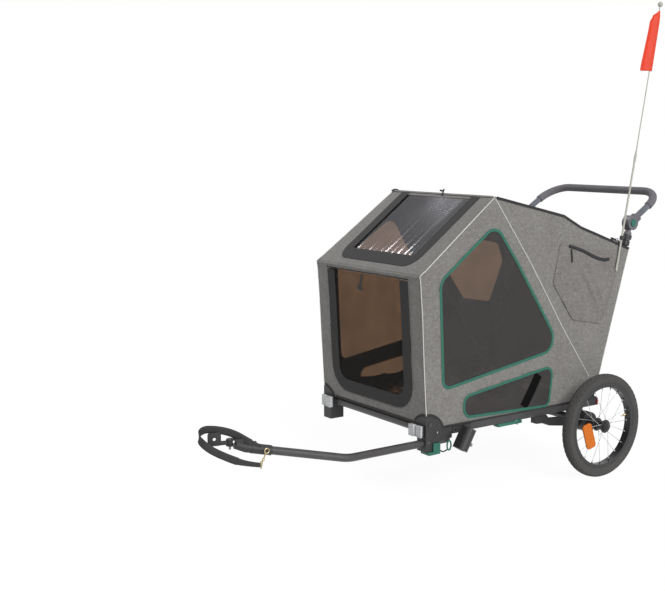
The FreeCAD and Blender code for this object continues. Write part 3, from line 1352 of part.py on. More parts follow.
def stroller_socket():
    """A tilted tube on a plate on the left rail, for the stem of a stroller wheel, with its spring pin."""
    tilt = math.radians(SOCKET_TILT)
    down = Vector(math.sin(tilt), 0, -math.cos(tilt))
    side = float(RAIL_OUT) + mm.socket_out
    center = Vector(mm.socket_x, side, mm.socket_z)
    start = center - down * (mm.socket_tube_length / 2)
    radius = mm.socket_outer_diameter / 2
    outside = Part.makeCylinder(radius, mm.socket_tube_length, start, down)
    web = Part.makeBox(2 * radius, mm.socket_out, mm.socket_tube_length)
    turn = Rotation(Vector(0, 0, 1), down)
    web.Placement = Placement(start + turn.multVec(Vector(-radius, 0, 0)) - Vector(0, mm.socket_out, 0), turn)
    plate_low = Vector(mm.socket_x - mm.socket_plate_length / 2, float(RAIL_OUT), float(RAIL_BOTTOM))
    plate = Part.makeBox(mm.socket_plate_length, mm.socket_plate_thickness, mm.socket_plate_height, plate_low)
    whole = joined([outside, web, plate])
    bore_start = start + down * mm.socket_plate_thickness
    bore = Part.makeCylinder(mm.socket_bore_diameter / 2, mm.socket_tube_length, bore_start, down)
    back = Vector(-math.cos(tilt), 0, -math.sin(tilt))
    pin_foot = center + down * (mm.socket_tube_length * SPRING_PIN_SHARE)
    hole_radius = mm.spring_pin_diameter / 2 + mm.spring_pin_clearance
    hole = Part.makeCylinder(hole_radius, 2 * radius, pin_foot, back)
    node("stroller_socket", shaped("stroller_socket", whole.cut(bore).cut(hole)))
    wall_out = pin_foot + back * radius
    pin_start = wall_out - back * (mm.spring_pin_length - mm.latch_gap)
    shank = Part.makeCylinder(mm.spring_pin_diameter / 2, mm.spring_pin_length, pin_start, back)
    knob_foot = wall_out + back * mm.latch_gap
    knob = Part.makeCylinder(mm.spring_knob_diameter / 2, mm.spring_knob_length, knob_foot, back)
    node("socket_pin", shaped("socket_pin", shank.fuse(knob).removeSplitter()))


def check_and_export():
    """Every object has to be sound before anything is written."""
    doc.recompute()
    bad = [o.Name for o in doc.Objects if "Invalid" in o.State or "Error" in o.State]
    if bad:
        raise RuntimeError(f"objects that failed: {bad}")
    for label, obj in NODES.items():
        if obj.Shape.isNull() or not obj.Shape.isValid() or not obj.Shape.Solids:
            raise RuntimeError(f"{label} has no sound solid")
    os.makedirs("parts", exist_ok=True)
    for label, obj in NODES.items():
        obj.Shape.exportStep(f"parts/{label}.step")
        print(f"{label}: {len(obj.Shape.Solids)} solids, {obj.Shape.Volume / 1000:.1f} cm3")
    print(len(NODES), "nodes")


side_rails()
cross_tubes()
axle_arms()
FRONT_PIN_IN = corner_brackets()
REAR_PIN_IN = rear_hinges()
hinge_pins(FRONT_PIN_IN, REAR_PIN_IN)
floor_board()
front_posts()
main_hoop()
handle_posts()
push_handle()
PIECES = wheel_pieces()
wheel("left", PIECES)
wheel("right", PIECES)
side_cloth()
end_cloth()
flag()
tow_bar()
safety_strap()
tow_latch()
fold_slider()
stroller_socket()
check_and_export()
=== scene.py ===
# %% [markdown]
# # A dog trailer
#
# The real trailer is a low tube frame on two wheels with a cabin of grey cloth, mesh windows and a
# clear roof. The CAD model already gives every tube, bracket and wheel its place. This lesson adds
# what CAD leaves out: cloth, bindings, tread, straps and the finish of each surface.
# Lengths are written in millimetres and turned into Blender's metres at the last moment.

import json
import math

import bmesh
import bpy
from mathutils import Matrix, Vector, noise

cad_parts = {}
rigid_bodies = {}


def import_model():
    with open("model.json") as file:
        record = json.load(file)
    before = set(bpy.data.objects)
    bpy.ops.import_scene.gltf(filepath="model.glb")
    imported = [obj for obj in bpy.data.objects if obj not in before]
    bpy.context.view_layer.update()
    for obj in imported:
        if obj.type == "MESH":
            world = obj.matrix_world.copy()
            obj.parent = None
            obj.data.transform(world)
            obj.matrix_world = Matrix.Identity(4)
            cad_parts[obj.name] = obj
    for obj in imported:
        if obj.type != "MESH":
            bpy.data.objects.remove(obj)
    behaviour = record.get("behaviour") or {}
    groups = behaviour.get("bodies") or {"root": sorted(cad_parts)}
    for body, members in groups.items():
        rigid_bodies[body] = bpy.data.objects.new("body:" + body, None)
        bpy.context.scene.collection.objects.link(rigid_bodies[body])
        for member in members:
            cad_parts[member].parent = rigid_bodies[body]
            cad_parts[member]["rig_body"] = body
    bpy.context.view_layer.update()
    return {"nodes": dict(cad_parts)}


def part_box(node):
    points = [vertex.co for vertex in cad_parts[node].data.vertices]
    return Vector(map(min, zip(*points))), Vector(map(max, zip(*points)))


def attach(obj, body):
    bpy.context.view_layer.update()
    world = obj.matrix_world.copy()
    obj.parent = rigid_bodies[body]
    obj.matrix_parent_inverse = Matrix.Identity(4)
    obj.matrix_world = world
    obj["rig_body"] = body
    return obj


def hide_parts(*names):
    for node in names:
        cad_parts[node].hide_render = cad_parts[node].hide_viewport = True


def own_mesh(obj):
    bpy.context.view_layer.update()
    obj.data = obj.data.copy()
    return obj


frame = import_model()
nodes = frame["nodes"]
scene = bpy.context.scene
MM = 0.001


def at(x, y, z):
    """A place in millimetres, as Blender's metres."""
    return Vector((x, y, z)) * MM


# %% [markdown]
# ## Camera
#
# The camera looks at the front left corner from a little above the roof. A direction is easier to
# read than three Euler angles, so the rotation is worked out from the line of sight.

# %% Camera
CAMERA_YAW = 0.606
CAMERA_PITCH = 0.14
CAMERA_PLACE = at(3249.6, 3256.9, 1304)
LENS = 60
SENSOR = 36
sight = Vector((-math.sin(CAMERA_YAW), -math.cos(CAMERA_YAW), -math.tan(CAMERA_PITCH)))
camera = bpy.data.objects.new("camera", bpy.data.cameras.new("camera"))
camera.data.lens = LENS
camera.data.sensor_width = SENSOR
camera.location = CAMERA_PLACE
camera.rotation_euler = sight.to_track_quat("-Z", "Y").to_euler()
scene.collection.objects.link(camera)
scene.camera = camera
scene.view_settings.view_transform = "Standard"
print("camera at", camera.location)

# %% [markdown]
# ## Writing materials
#
# Screen colours are written as sRGB hex values, and shaders want linear light, so one function
# turns the first into the second. A second function adds a node, sets it up and wires its inputs.
# The rest are what most finishes share: two patterns whose size is given in millimetres, a colour
# between two tones, a dented normal and a value that wanders.

# %% Colour and node helpers


def linear(colour, alpha=1.0):
    """An sRGB hex value as linear RGBA."""
    shares = [int(colour[i:i + 2], 16) / 255 for i in (0, 2, 4)]
    return (*[s / 12.92 if s <= 0.04045 else ((s + 0.055) / 1.055) ** 2.4 for s in shares], alpha)


def add(tree, kind, links=None, sockets=None, **settings):
    """Adds one node with its settings, socket values and incoming links."""
    node = tree.nodes.new(kind)
    for key, value in settings.items():
        setattr(node, key, value)
    for key, value in (sockets or {}).items():
        node.inputs[key].default_value = value
    for key, output in (links or {}).items():
        tree.links.new(output, node.inputs[key])
    return node


def new_material(name, slot, colour, roughness, **sockets):
    """A material with its Principled shader, its node tree and its object coordinates."""
    material = bpy.data.materials.new(name)
    material.use_nodes = True
    material["slot"] = slot
    tree = material.node_tree
    shader = tree.nodes["Principled BSDF"]
    shader.inputs["Base Color"].default_value = linear(colour)
    shader.inputs["Roughness"].default_value = roughness
    for key, value in sockets.items():
        shader.inputs[key.replace("_", " ").title().replace("Ior", "IOR")].default_value = value
    place = add(tree, "ShaderNodeTexCoord").outputs["Object"]
    return material, tree, shader, place


def speckle(tree, place, size, detail, roughness=0.5):
    """A noise whose spots are this many millimetres wide."""
    sockets = {"Scale": 1 / (size * MM), "Detail": detail, "Roughness": roughness}
    return add(tree, "ShaderNodeTexNoise", {"Vector": place}, sockets).outputs["Fac"]


def cells(tree, place, size, **settings):
    """Small cells, this many millimetres wide."""
    sockets = {"Scale": 1 / (size * MM)}
    return add(tree, "ShaderNodeTexVoronoi", {"Vector": place}, sockets, **settings).outputs["Distance"]


def tones(tree, shader, pattern, low, high, start=0.0, end=1.0):
    """Colours a surface from one hex value to another, as a pattern rises from start to end."""
    ramp = add(tree, "ShaderNodeValToRGB", {"Fac": pattern})
    for element, position, colour in zip(ramp.color_ramp.elements, (start, end), (low, high)):
        element.position = position
        element.color = linear(colour)
    tree.links.new(ramp.outputs["Color"], shader.inputs["Base Color"])


def dent(tree, shader, pattern, strength, depth, **settings):
    """Bends the normal as if the pattern were this many millimetres deep."""
    sockets = {"Strength": strength, "Distance": depth * MM}
    bump = add(tree, "ShaderNodeBump", {"Height": pattern}, sockets, **settings)
    tree.links.new(bump.outputs["Normal"], shader.inputs["Normal"])


def between(tree, pattern, low, high):
    """A pattern's 0 to 1 as a value from low to high."""
    sockets = {"To Min": low, "To Max": high}
    return add(tree, "ShaderNodeMapRange", {"Value": pattern}, sockets).outputs["Result"]


print("helpers ready, white is", linear("ffffff"))

# %% [markdown]
# ## Melange cloth
#
# The cabin is polyester canvas spun from pale and dark grey fibres, so it looks heathered: short
# light and dark dashes along warp and weft. Two stretched noises give the dashes, one for each
# thread direction, and their product drives both the colour and a small bump. The yarn is about
# 0.6 mm wide, too fine to show from here, so the dashes are drawn 3 mm wide.

# %% Melange cloth
DASH_WIDTH = 3
DASH_STRETCH = 0.22
CLOUD_WIDTH = 90
CLOUD_SHARE = 0.1


def melange(name, dark, pale):
    material, tree, shader, place = new_material(name, "grey_cloth", pale, 0.92, sheen_weight=0.15)
    dashes = []
    for stretch in ((DASH_STRETCH, DASH_STRETCH, 1.0), (1.0, 1.0, DASH_STRETCH)):
        turned = add(tree, "ShaderNodeMapping", {"Vector": place}, {"Scale": stretch})
        dashes.append(speckle(tree, turned.outputs["Vector"], DASH_WIDTH, 3.0, 0.7))
    threads = add(tree, "ShaderNodeMath", dict(enumerate(dashes)), operation="MULTIPLY").outputs[0]
    cloudy = speckle(tree, place, CLOUD_WIDTH, 2.0)
    soft = add(tree, "ShaderNodeMath", {0: cloudy, 2: threads}, {1: CLOUD_SHARE}, operation="MULTIPLY_ADD")
    tones(tree, shader, soft.outputs[0], dark, pale, 0.16, 0.46)
    dent(tree, shader, threads, 0.25, 0.5)
    return material


grey_canvas = melange("grey_melange_polyester", "64615e", "92908d")
pocket_canvas = melange("grey_melange_pocket", "5f5c5a", "8d8a87")
print("cloth:", grey_canvas.name, pocket_canvas.name)

# %% [markdown]
# ## Grainy finishes
#
# Powder paint, moulded nylon, rubber and coated cloth all share one recipe: a fine noise dents the
# normal, and a wide one shifts the colour and the gloss a little. What differs is the colour, the
# grain's size in millimetres and how deep it goes, so one function takes those and the list reads
# like a paint chart.

# %% Grainy finishes
PATCH_SIZE = 25
WEAR = 0.07


def grainy(name, slot, colour, roughness, grain, depth, patch):
    """A moulded or coated surface with a grain in millimetres, and larger patches of a second colour."""
    material, tree, shader, place = new_material(name, slot, colour, roughness)
    wide = speckle(tree, place, grain * PATCH_SIZE, 5.0)
    gloss = between(tree, wide, roughness - WEAR, min(1.0, roughness + WEAR))
    tree.links.new(gloss, shader.inputs["Roughness"])
    tones(tree, shader, wide, colour, patch, 0.35, 0.75)
    dent(tree, shader, speckle(tree, place, grain, 4.0), 0.3, depth)
    return material


powder_paint = grainy("black_powder_paint", "frame_paint", "3a393b", 0.42, 1.5, 0.2, "454446")
bar_paint = grainy("grey_black_bar_paint", "frame_paint", "3f3d3f", 0.40, 1.5, 0.2, "4a484a")
handle_paint = grainy("blue_grey_handle_paint", "frame_paint", "5a5d66", 0.3, 1.5, 0.15, "666a73")
moulded_nylon = grainy("black_moulded_nylon", "black_plastic", "262627", 0.5, 2.0, 0.3, "303032")
teal_nylon = grainy("teal_moulded_nylon", "teal_plastic", "1d6252", 0.38, 2.0, 0.2, "246c5b")
tyre_rubber = grainy("tyre_rubber", "tyre_rubber", "3d3c3b", 0.78, 2.5, 0.4, "474645")
rim_paint = grainy("black_rim_enamel", "rim_paint", "232325", 0.35, 1.5, 0.1, "2b2b2d")
foam_rubber = grainy("grey_foam_rubber", "foam", "6c6a6f", 0.9, 3.0, 0.8, "78767b")
grey_nylon = grainy("grey_moulded_nylon", "black_plastic", "5c5b61", 0.36, 2.0, 0.3, "68676d")
coated_lining = grainy("black_coated_lining", "grey_cloth", "232121", 0.55, 4.0, 0.4, "2d2a29")
liner_film = grainy("black_vinyl_liner", "floor_liner", "0e0d0d", 0.22, 14.0, 1.0, "141312")
flag_fibre = grainy("ivory_glass_fibre", "flag_fibre", "b3b2a8", 0.4, 2.0, 0.1, "c2c1b8")
print("grainy finishes made")

# %% [markdown]
# ## Woven tapes
#
# Bindings, straps and the flag are woven. Ribs from a wave texture on object coordinates would
# follow no curve, so a voronoi speckle stands for the weave: it looks the same on a tape that turns
# a corner. Threads are under 1 mm wide and are drawn 2 to 3 mm wide so that they show.

# %% Woven tapes


def woven(name, slot, colour, pale, roughness=0.85, thread=2.5, **sockets):
    material, tree, shader, place = new_material(name, slot, colour, roughness, **sockets)
    weave = cells(tree, place, thread)
    tones(tree, shader, weave, pale, colour)
    dent(tree, shader, weave, 0.5, 0.5, invert=True)
    return material


black_tape = woven("black_binding_tape", "black_webbing", "201f1f", "2f2e2e")
teal_tape = woven("teal_binding_tape", "teal_plastic", "1f5547", "2f7764", 0.7)
black_webbing = woven("black_polyester_webbing", "black_webbing", "1b1a1b", "343334", 0.7)
# Near black with almost no gloss, for the dark band over the lower left window.
matte_dark_band = woven("black_matte_band", "black_webbing", "070606", "0f0e0e", 0.95,
                      specular_ior_level=0.1)
piping = woven("silver_reflective_piping", "clear_lens", "c9c8c4", "e6e5e1", 0.45, 3.0)
print("woven tapes made")

# %% [markdown]
# ## Metal, lenses and flag cloth
#
# Metal parts are few: stainless spokes, zinc-plated pins, and brass for the hook and the valves.
# Reflectors are clear or coloured acrylic over a field of small prisms, which a voronoi bump
# imitates. The flag is orange nylon with the tapes' weave.

# %% Metal, lenses and flag cloth
SMEAR_WIDTH = 6
PRISM_WIDTH = 4


def brushed(name, slot, colour, roughness):
    material, tree, shader, place = new_material(name, slot, colour, roughness, metallic=1.0)
    gloss = between(tree, speckle(tree, place, SMEAR_WIDTH, 6.0), roughness - 0.1, roughness + 0.15)
    tree.links.new(gloss, shader.inputs["Roughness"])
    return material


def prismatic(name, slot, colour, dark):
    material, tree, shader, place = new_material(name, slot, colour, 0.12, specular_ior_level=0.25,
                                                 coat_weight=0.15, coat_roughness=0.05)
    prisms = cells(tree, place, PRISM_WIDTH, distance="MANHATTAN")
    tones(tree, shader, prisms, colour, dark)
    dent(tree, shader, prisms, 0.6, 1.0)
    return material


spoke_steel = brushed("stainless_spoke_steel", "spoke_steel", "b9bbbd", 0.35)
zinc_steel = brushed("zinc_plated_steel", "steel", "8f9092", 0.4)
brass = brushed("pale_brass", "brass", "bfb08a", 0.35)
amber_lens = prismatic("amber_acrylic", "amber_lens", "ee8000", "c96400")
silver_lens = prismatic("silver_prism_acrylic", "clear_lens", "e9ebec", "b9bcbe")
red_lens = prismatic("red_acrylic", "red_lens", "cc2a28", "9a1412")
flag_nylon = woven("orange_flag_nylon", "flag_cloth", "dc3414", "e34a28", 0.6, 2.0)
print("metal and lenses made")

# %% [markdown]
# ## Mesh cloth and clear film
#
# Window mesh is a net of thin dark threads. At this distance the eye sees a veil, not holes, so the
# shader mixes a tinted Transparent with a dark cloth: light that passes two windows comes out
# brown, as it does through the real cabin. The door's net lies in the shade, and its threads are
# painted darker in a second copy of the mesh: painted shade. The roof's film is soft PVC with a smoky
# tint and a gloss that its creases bend into streaks. A Transparent shader is used and not glass,
# because the film is thin and doesn't bend what lies behind it. How much it mirrors follows
# Schlick's rule, 4 % head on and all of it edge on, because the Fresnel node would turn the film's
# inner face opaque.

# %% Mesh cloth and clear film
UNEVEN = 0.15
MESH_SHARE = 0.7
MESH_GRAIN = 70
MESH_TINT = (0.99, 0.745, 0.56)
FILM_HAZE = 0.03
FILM_GRAIN = 120
FILM_TINT = (0.42, 0.325, 0.28)
FILM_SHEEN = (0.62, 0.62, 0.66, 1.0)
FILM_CRINKLE = 160
HEAD_ON = 0.04
SCHLICK_POWER = 5


def show(tree, surface):
    """Makes a shader the one that the material shows."""
    tree.links.new(surface, tree.nodes["Material Output"].inputs["Surface"])


def see_through(name, slot, tint, colour, share, grain):
    """A veil: this share of the surface is cloth or haze, the rest lets tinted light pass."""
    material, tree, shader, place = new_material(name, slot, colour, 0.9, specular_ior_level=0.3)
    clear = add(tree, "ShaderNodeBsdfTransparent", sockets={"Color": (*tint, 1.0)}).outputs[0]
    cover = between(tree, speckle(tree, place, grain, 2.0), share * (1 - UNEVEN), share * (1 + UNEVEN))
    veil = add(tree, "ShaderNodeMixShader", {"Fac": cover, 1: clear, 2: shader.outputs[0]}).outputs[0]
    show(tree, veil)
    return material, tree, veil, place


# The door's copy is the same mesh with darker threads: painted shade, since the door lies in the shade.
window_mesh, painted_shade_mesh = (
    see_through(name, "black_mesh", MESH_TINT, colour, MESH_SHARE, MESH_GRAIN)[0]
    for name, colour in (("black_polyester_mesh", "4a4847"), ("black_polyester_mesh_painted_shade", "201f1e")))
clear_film, tree, veil, place = see_through("clear_pvc_film", "clear_film", FILM_TINT, "b4b4b8", FILM_HAZE,
                                            FILM_GRAIN)
crinkle = speckle(tree, place, FILM_CRINKLE, 0.0)
bump = add(tree, "ShaderNodeBump", {"Height": crinkle}, {"Strength": 0.2, "Distance": 4 * MM})
bend = bump.outputs["Normal"]
edge_on = add(tree, "ShaderNodeLayerWeight", {"Normal": bend}, {"Blend": 0.5}).outputs["Facing"]
steep = add(tree, "ShaderNodeMath", {0: edge_on}, {1: SCHLICK_POWER}, operation="POWER").outputs[0]
gloss = add(tree, "ShaderNodeBsdfGlossy", {"Normal": bend}, {"Color": FILM_SHEEN, "Roughness": 0.14})
mirrored = between(tree, steep, HEAD_ON, 1.0)
film = add(tree, "ShaderNodeMixShader", {"Fac": mirrored, 1: veil, 2: gloss.outputs[0]})
show(tree, film.outputs[0])
print("veils made")

# %% [markdown]
# ## Building pieces
#
# Every piece below goes through the same last step: its bmesh becomes an object at the origin, gets
# its materials, rides on a CAD body and names the record's slot. A Solidify modifier gives cloth its
# thickness, and a Bevel rounds mouldings. `folds_flat` gives a piece a mesh of its own.

# %% Building pieces
SHARP_TURN = math.radians(32)
made_pieces = {}


def finished(name, bm, body, *materials):
    """A bmesh in metres becomes a piece that rides on a CAD body."""
    mesh = bpy.data.meshes.new(name)
    bm.to_mesh(mesh)
    bm.free()
    for material in materials:
        mesh.materials.append(material)
    mesh.shade_smooth()
    piece = bpy.data.objects.new(name, mesh)
    scene.collection.objects.link(piece)
    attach(piece, body)
    made_pieces[name] = piece
    return piece


def thicken(piece, thickness, offset, lining=0, edge=0.0):
    """A wall of this many millimetres: offset -1 grows it inwards, 1 outwards."""
    wall = piece.modifiers.new("wall", "SOLIDIFY")
    wall.thickness = thickness * MM
    wall.offset = offset
    wall.material_offset = lining
    if edge:
        round_off(piece, edge)


def round_off(piece, edge):
    """Takes the sharpness off every edge that the eye would call an edge."""
    bevel = piece.modifiers.new("round", "BEVEL")
    bevel.width = edge * MM
    bevel.segments = 2
    bevel.limit_method = "ANGLE"
    bevel.angle_limit = math.radians(35)
    bevel.harden_normals = True


def keep_sharp(bm):
    """Under smooth shading, edges that turn far enough stay edges."""
    for edge in bm.edges:
        edge.smooth = edge.calc_face_angle(0.0) < SHARP_TURN


def merged_copy(node, near):
    """A CAD node's loose triangles as one connected mesh."""
    bm = bmesh.new()
    bm.from_mesh(nodes[node].data)
    bmesh.ops.remove_doubles(bm, verts=bm.verts[:], dist=near * MM)
    return bm


def bisect(bm, place, way, near=0.001, **clear):
    """Cuts a mesh along a plane, and throws away one half if that is asked for."""
    everything = bm.verts[:] + bm.edges[:] + bm.faces[:]
    bmesh.ops.bisect_plane(bm, geom=everything, dist=near, plane_co=place, plane_no=way, **clear)


def in_metres(bm):
    """A bmesh drawn in millimetres, made ready for `finished`."""
    bmesh.ops.scale(bm, vec=(MM, MM, MM), verts=bm.verts[:])
    return bm


def folds_flat(piece):
    """Gives a piece a mesh of its own."""
    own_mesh(piece)


# %% [markdown]
# ## Safety strap
#
# A strap of 25 mm webbing runs forward from the collar on the tow bar, makes a loop and comes back
# to a snap hook. It is a free cord, so its line comes first. The points start from the CAD route and
# sag more on the way back, and a NURBS curve through that cage bends as webbing does. The ribbon
# itself is a grid: each column of vertices moves to one point of the curve and stands on edge there.

# %% Safety strap
STRAP_WIDTH = 25
STRAP_THICKNESS = 2
GATHER_SHARE = 0.4
GATHER_POINTS = 12
STRAP_ROUTE = [(1440, 236, 311), (1462, 229, 318), (1488, 215, 336), (1516, 199, 356), (1549, 184, 369),
               (1584, 169, 376), (1612, 163, 377), (1634, 171, 368), (1640, 190, 350), (1614, 209, 321),
               (1560, 224, 290), (1505, 236, 264), (1441, 244, 250)]


def new_curve(name, kind, places):
    """A curve with one spline through these places in metres."""
    curve = bpy.data.curves.new(name, "CURVE")
    curve.dimensions = "3D"
    spline = curve.splines.new(kind)
    spline.points.add(len(places) - 1)
    for point, place in zip(spline.points, places):
        point.co = (*place, 1.0)
    return curve, spline


def mesh_of(curve):
    """What Blender draws for a curve, as a bmesh."""
    holder = bpy.data.objects.new(curve.name, curve)
    mesh = bpy.data.meshes.new_from_object(holder)
    bm = bmesh.new()
    bm.from_mesh(mesh)
    bpy.data.objects.remove(holder)
    bpy.data.meshes.remove(mesh)
    return bm


def curve_line(route, resolution=12):
    """Places along a NURBS curve whose cage is this route in millimetres."""
    curve, spline = new_curve("line", "NURBS", [at(*place) for place in route])
    spline.resolution_u = resolution
    spline.order_u = 3
    spline.use_endpoint_u = True
    bm = mesh_of(curve)
    line = [vert.co.copy() for vert in bm.verts]
    bm.free()
    return line


def ribbon(line, width, wide_way, rows=4):
    """A flat band along a line, gathered at both ends. wide_way gives the direction of its width."""
    bm = bmesh.new()
    bm.loops.layers.uv.new("UVMap")
    bmesh.ops.create_grid(bm, x_segments=len(line) - 1, y_segments=rows, size=1.0, calc_uvs=True)
    last = len(line) - 1
    for vert in bm.verts:
        i = round((vert.co.x + 1) / 2 * last)
        run = (line[min(i + 1, last)] - line[max(i - 1, 0)]).normalized()
        gathered = 1 - GATHER_SHARE * max(0.0, 1 - min(i, last - i) / GATHER_POINTS) ** 0.5
        vert.co = line[i] + wide_way(run) * (vert.co.y * gathered * width / 2 * MM)
    return bm


def on_edge(run):
    """The width stands upright, square to the run."""
    level = Vector((0, 0, 1)).cross(run).normalized()
    return run.cross(level)


strap_line = curve_line(STRAP_ROUTE)
strap = finished("webbing_strap", ribbon(strap_line, STRAP_WIDTH, on_edge), "tow_bar", black_webbing)
thicken(strap, STRAP_THICKNESS, 0)
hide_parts("safety_strap")

# %% [markdown]
# ## The cabin's surfaces
#
# Each wall of the cabin is a surface with two drawing coordinates. A function turns a place on the
# drawing into a place in space, lifted off the cloth by some millimetres, and adds the cloth's own
# slackness there. Panels, bindings, zips and piping all go through the same functions, so a tape
# always follows the cloth that it is sewn to.

# %% The cabin's surfaces
HALF_WIDTH = 317
FRONT_FOOT = (808, 283)
FRONT_FOLD = (845, 834)
RIDGE = (486, 1100)
REAR_FOLD = (-222, 878)
REAR_FOOT = (-44, 283)
SAG = [RIDGE, (137, 1021), (47, 974), REAR_FOLD]
RIDGE_INSET = 20
POST_FOOT = (-36, 312)
POST_LEAN = 0.2997
POST_BULGE = 3
POST_SPREAD = 15
FRONT_ROLL = (3, 836, 10)
FRONT_HOLLOW = (1.5, 690, 85)
LOOSE_FROM = 260
LOOSE_OVER = 200
DRAWN_FROM = 660
DRAWN_OVER = 170
ROOF_DIP = 5
DIP_OVER = 120


def clamp(share):
    return max(0.0, min(1.0, share))


def hill(place, height, middle, width):
    """A smooth hump over a line."""
    return height * math.exp(-((place - middle) / width) ** 2)


def slack(u, v, size, depth, seed):
    """A smooth unevenness of the cloth in millimetres."""
    return depth * noise.noise(Vector((u / size, v / size, seed)))


def fold_height(x):
    """The line along which the side walls start to lean in."""
    share = (x - REAR_FOLD[0]) / (FRONT_FOLD[0] - REAR_FOLD[0])
    return REAR_FOLD[1] + share * (FRONT_FOLD[1] - REAR_FOLD[1])


def front_sag(z):
    """How far the front stands out at its top edge, and hangs in below it."""
    return hill(z, *FRONT_ROLL) - hill(z, *FRONT_HOLLOW)


def side_place(x, z, lift, side):
    """Side walls lean in at the top, ripple at the rear, bulge over a post and follow the front."""
    lean = RIDGE_INSET * max(0.0, z - fold_height(x)) / (RIDGE[1] - fold_height(RIDGE[0]))
    loose = clamp((LOOSE_FROM - x) / LOOSE_OVER)
    ripple = slack(x, z, 170, 0.9, side) + loose * slack(x, z * 0.3, 42, 1.3, 5 + side)
    over_post = hill(x, POST_BULGE, POST_FOOT[0] - POST_LEAN * (z - POST_FOOT[1]), POST_SPREAD)
    drawn_in = front_sag(z) * clamp((x - DRAWN_FROM) / DRAWN_OVER) ** 2
    return at(x + drawn_in, side * (HALF_WIDTH - lean + ripple + over_post + lift), z)


def left_wall(x, z, lift=0.0):
    return side_place(x, z, lift, 1)


def right_wall(x, z, lift=0.0):
    return side_place(x, z, lift, -1)


def front_wall(y, z, lift=0.0):
    share = (z - FRONT_FOOT[1]) / (FRONT_FOLD[1] - FRONT_FOOT[1])
    x = FRONT_FOOT[0] + share * (FRONT_FOLD[0] - FRONT_FOOT[0])
    return at(x + lift + front_sag(z) + slack(y, z, 150, 1.0, 11), y, z)


def roof(y, x, lift=0.0):
    run = Vector((FRONT_FOLD[0] - RIDGE[0], 0, RIDGE[1] - FRONT_FOLD[1]))
    share = (FRONT_FOLD[0] - x) / run.x
    out = Vector((run.z, 0, run.x)).normalized()
    return at(x, y, FRONT_FOLD[1] + share * run.z) + out * ((lift + slack(y, x, 160, 1.2, 17)) * MM)


def rear_roof(y, x, lift=0.0):
    for (x0, z0), (x1, z1) in zip(SAG, SAG[1:]):
        if x >= x1:
            break
    dip = ROOF_DIP * math.cos(math.pi * max(-1.0, min(1.0, y / HALF_WIDTH)) / 2)
    z = z0 + (x - x0) / (x1 - x0) * (z1 - z0)
    return at(x, y, z + lift - dip * min(1.0, (RIDGE[0] - x) / DIP_OVER))


def rear_wall(y, z, lift=0.0):
    share = (REAR_FOLD[1] - z) / (REAR_FOLD[1] - REAR_FOOT[1])
    return at(REAR_FOLD[0] + share * (REAR_FOOT[0] - REAR_FOLD[0]) - lift - slack(y, z, 140, 1.5, 23), y, z)


def lay(bm, surface, lift):
    """Lays a flat drawing in millimetres on one of the cabin's surfaces, faces outwards."""
    first = bm.verts[:][0].co.copy()
    out = surface(first.x, first.y, 1.0) - surface(first.x, first.y, 0.0)
    for vert in bm.verts:
        vert.co = surface(vert.co.x, vert.co.y, lift)
    bm.normal_update()
    if sum(face.normal.dot(out) for face in bm.faces) < 0:
        bmesh.ops.reverse_faces(bm, faces=bm.faces[:])
    return bm


def slice_up(bm, step):
    """Cuts a drawing along a square grid, so that it can bend."""
    for axis in (0, 1):
        low = min(vert.co[axis] for vert in bm.verts)
        high = max(vert.co[axis] for vert in bm.verts)
        way = Vector((1 - axis, axis, 0))
        for i in range(1, math.ceil((high - low) / step)):
            bisect(bm, way * (low + i * step), way)


SIDES = (("left", left_wall, 1), ("right", right_wall, -1))
print("ridge is", RIDGE[1], "mm up")

# %% [markdown]
# ## Cloth panels
#
# A sewn cover starts from flat cutting patterns. The CAD panel holds that pattern: its outer face,
# with holes for the windows and notches for the brackets. A copy of the face is flattened to the
# drawing plane, sliced into a grid, freed of the triangles' diagonals and laid on the cabin's
# surface again, where it picks up the cloth's slackness. The inside is black coated cloth, so
# Solidify takes the second material slot for it. Mesh stays a single layer.

# %% Cloth panels
FACES_OUT = 0.5
FOLDED = math.radians(1)
SLANTED = 0.01


def skin(name, node, drawn, surface, body, *materials, step=16, thickness=2):
    """A soft panel cut to a CAD panel's outer face. drawn names the drawing's two axes."""
    u, v = ("xyz".index(axis) for axis in drawn)
    bm = merged_copy(node, 0.02)
    inner = []
    for face in bm.faces:
        middle = face.calc_center_median() / MM
        out = surface(middle[u], middle[v], 1.0) - surface(middle[u], middle[v], 0.0)
        if face.normal.dot(out.normalized()) < FACES_OUT:
            inner.append(face)
    bmesh.ops.delete(bm, geom=inner, context="FACES")
    for edge in bm.edges:
        edge.seam = edge.calc_face_angle(0.0) > FOLDED
    for vert in bm.verts:
        vert.co = (vert.co[u] / MM, vert.co[v] / MM, 0)
    slice_up(bm, step)
    diagonals = []
    for edge in bm.edges:
        run = edge.verts[1].co - edge.verts[0].co
        if len(edge.link_faces) == 2 and not edge.seam and min(abs(run.x), abs(run.y)) > SLANTED:
            diagonals.append(edge)
    bmesh.ops.dissolve_edges(bm, edges=diagonals, use_verts=True)
    lay(bm, surface, 0.0)
    sum(face.calc_area() for face in bm.faces)
    piece = finished(name, bm, body, *materials)
    if thickness:
        thicken(piece, thickness, -1, len(materials) - 1)
    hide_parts(node)


PANELS = {
    "canvas_wall_left": ("side_panel_left", "xz", left_wall),
    "canvas_wall_right": ("side_panel_right", "xz", right_wall),
    "canvas_front": ("front_panel", "yz", front_wall),
    "canvas_roof": ("roof_panel", "yx", roof),
    "canvas_rear_roof": ("rear_roof_panel", "yx", rear_roof),
    "canvas_rear": ("rear_panel", "yz", rear_wall),
}
for name, pattern in PANELS.items():
    skin(name, *pattern, "base", grey_canvas, coated_lining)
for side, wall, sign in SIDES:
    skin(f"mesh_windows_{side}", f"side_windows_{side}", "xz", wall, "base", window_mesh, thickness=0)
# The door's net takes the darker copy of the mesh, which is painted shade.
skin("mesh_door", "front_door", "yz", front_wall, "front_door", painted_shade_mesh, thickness=0)

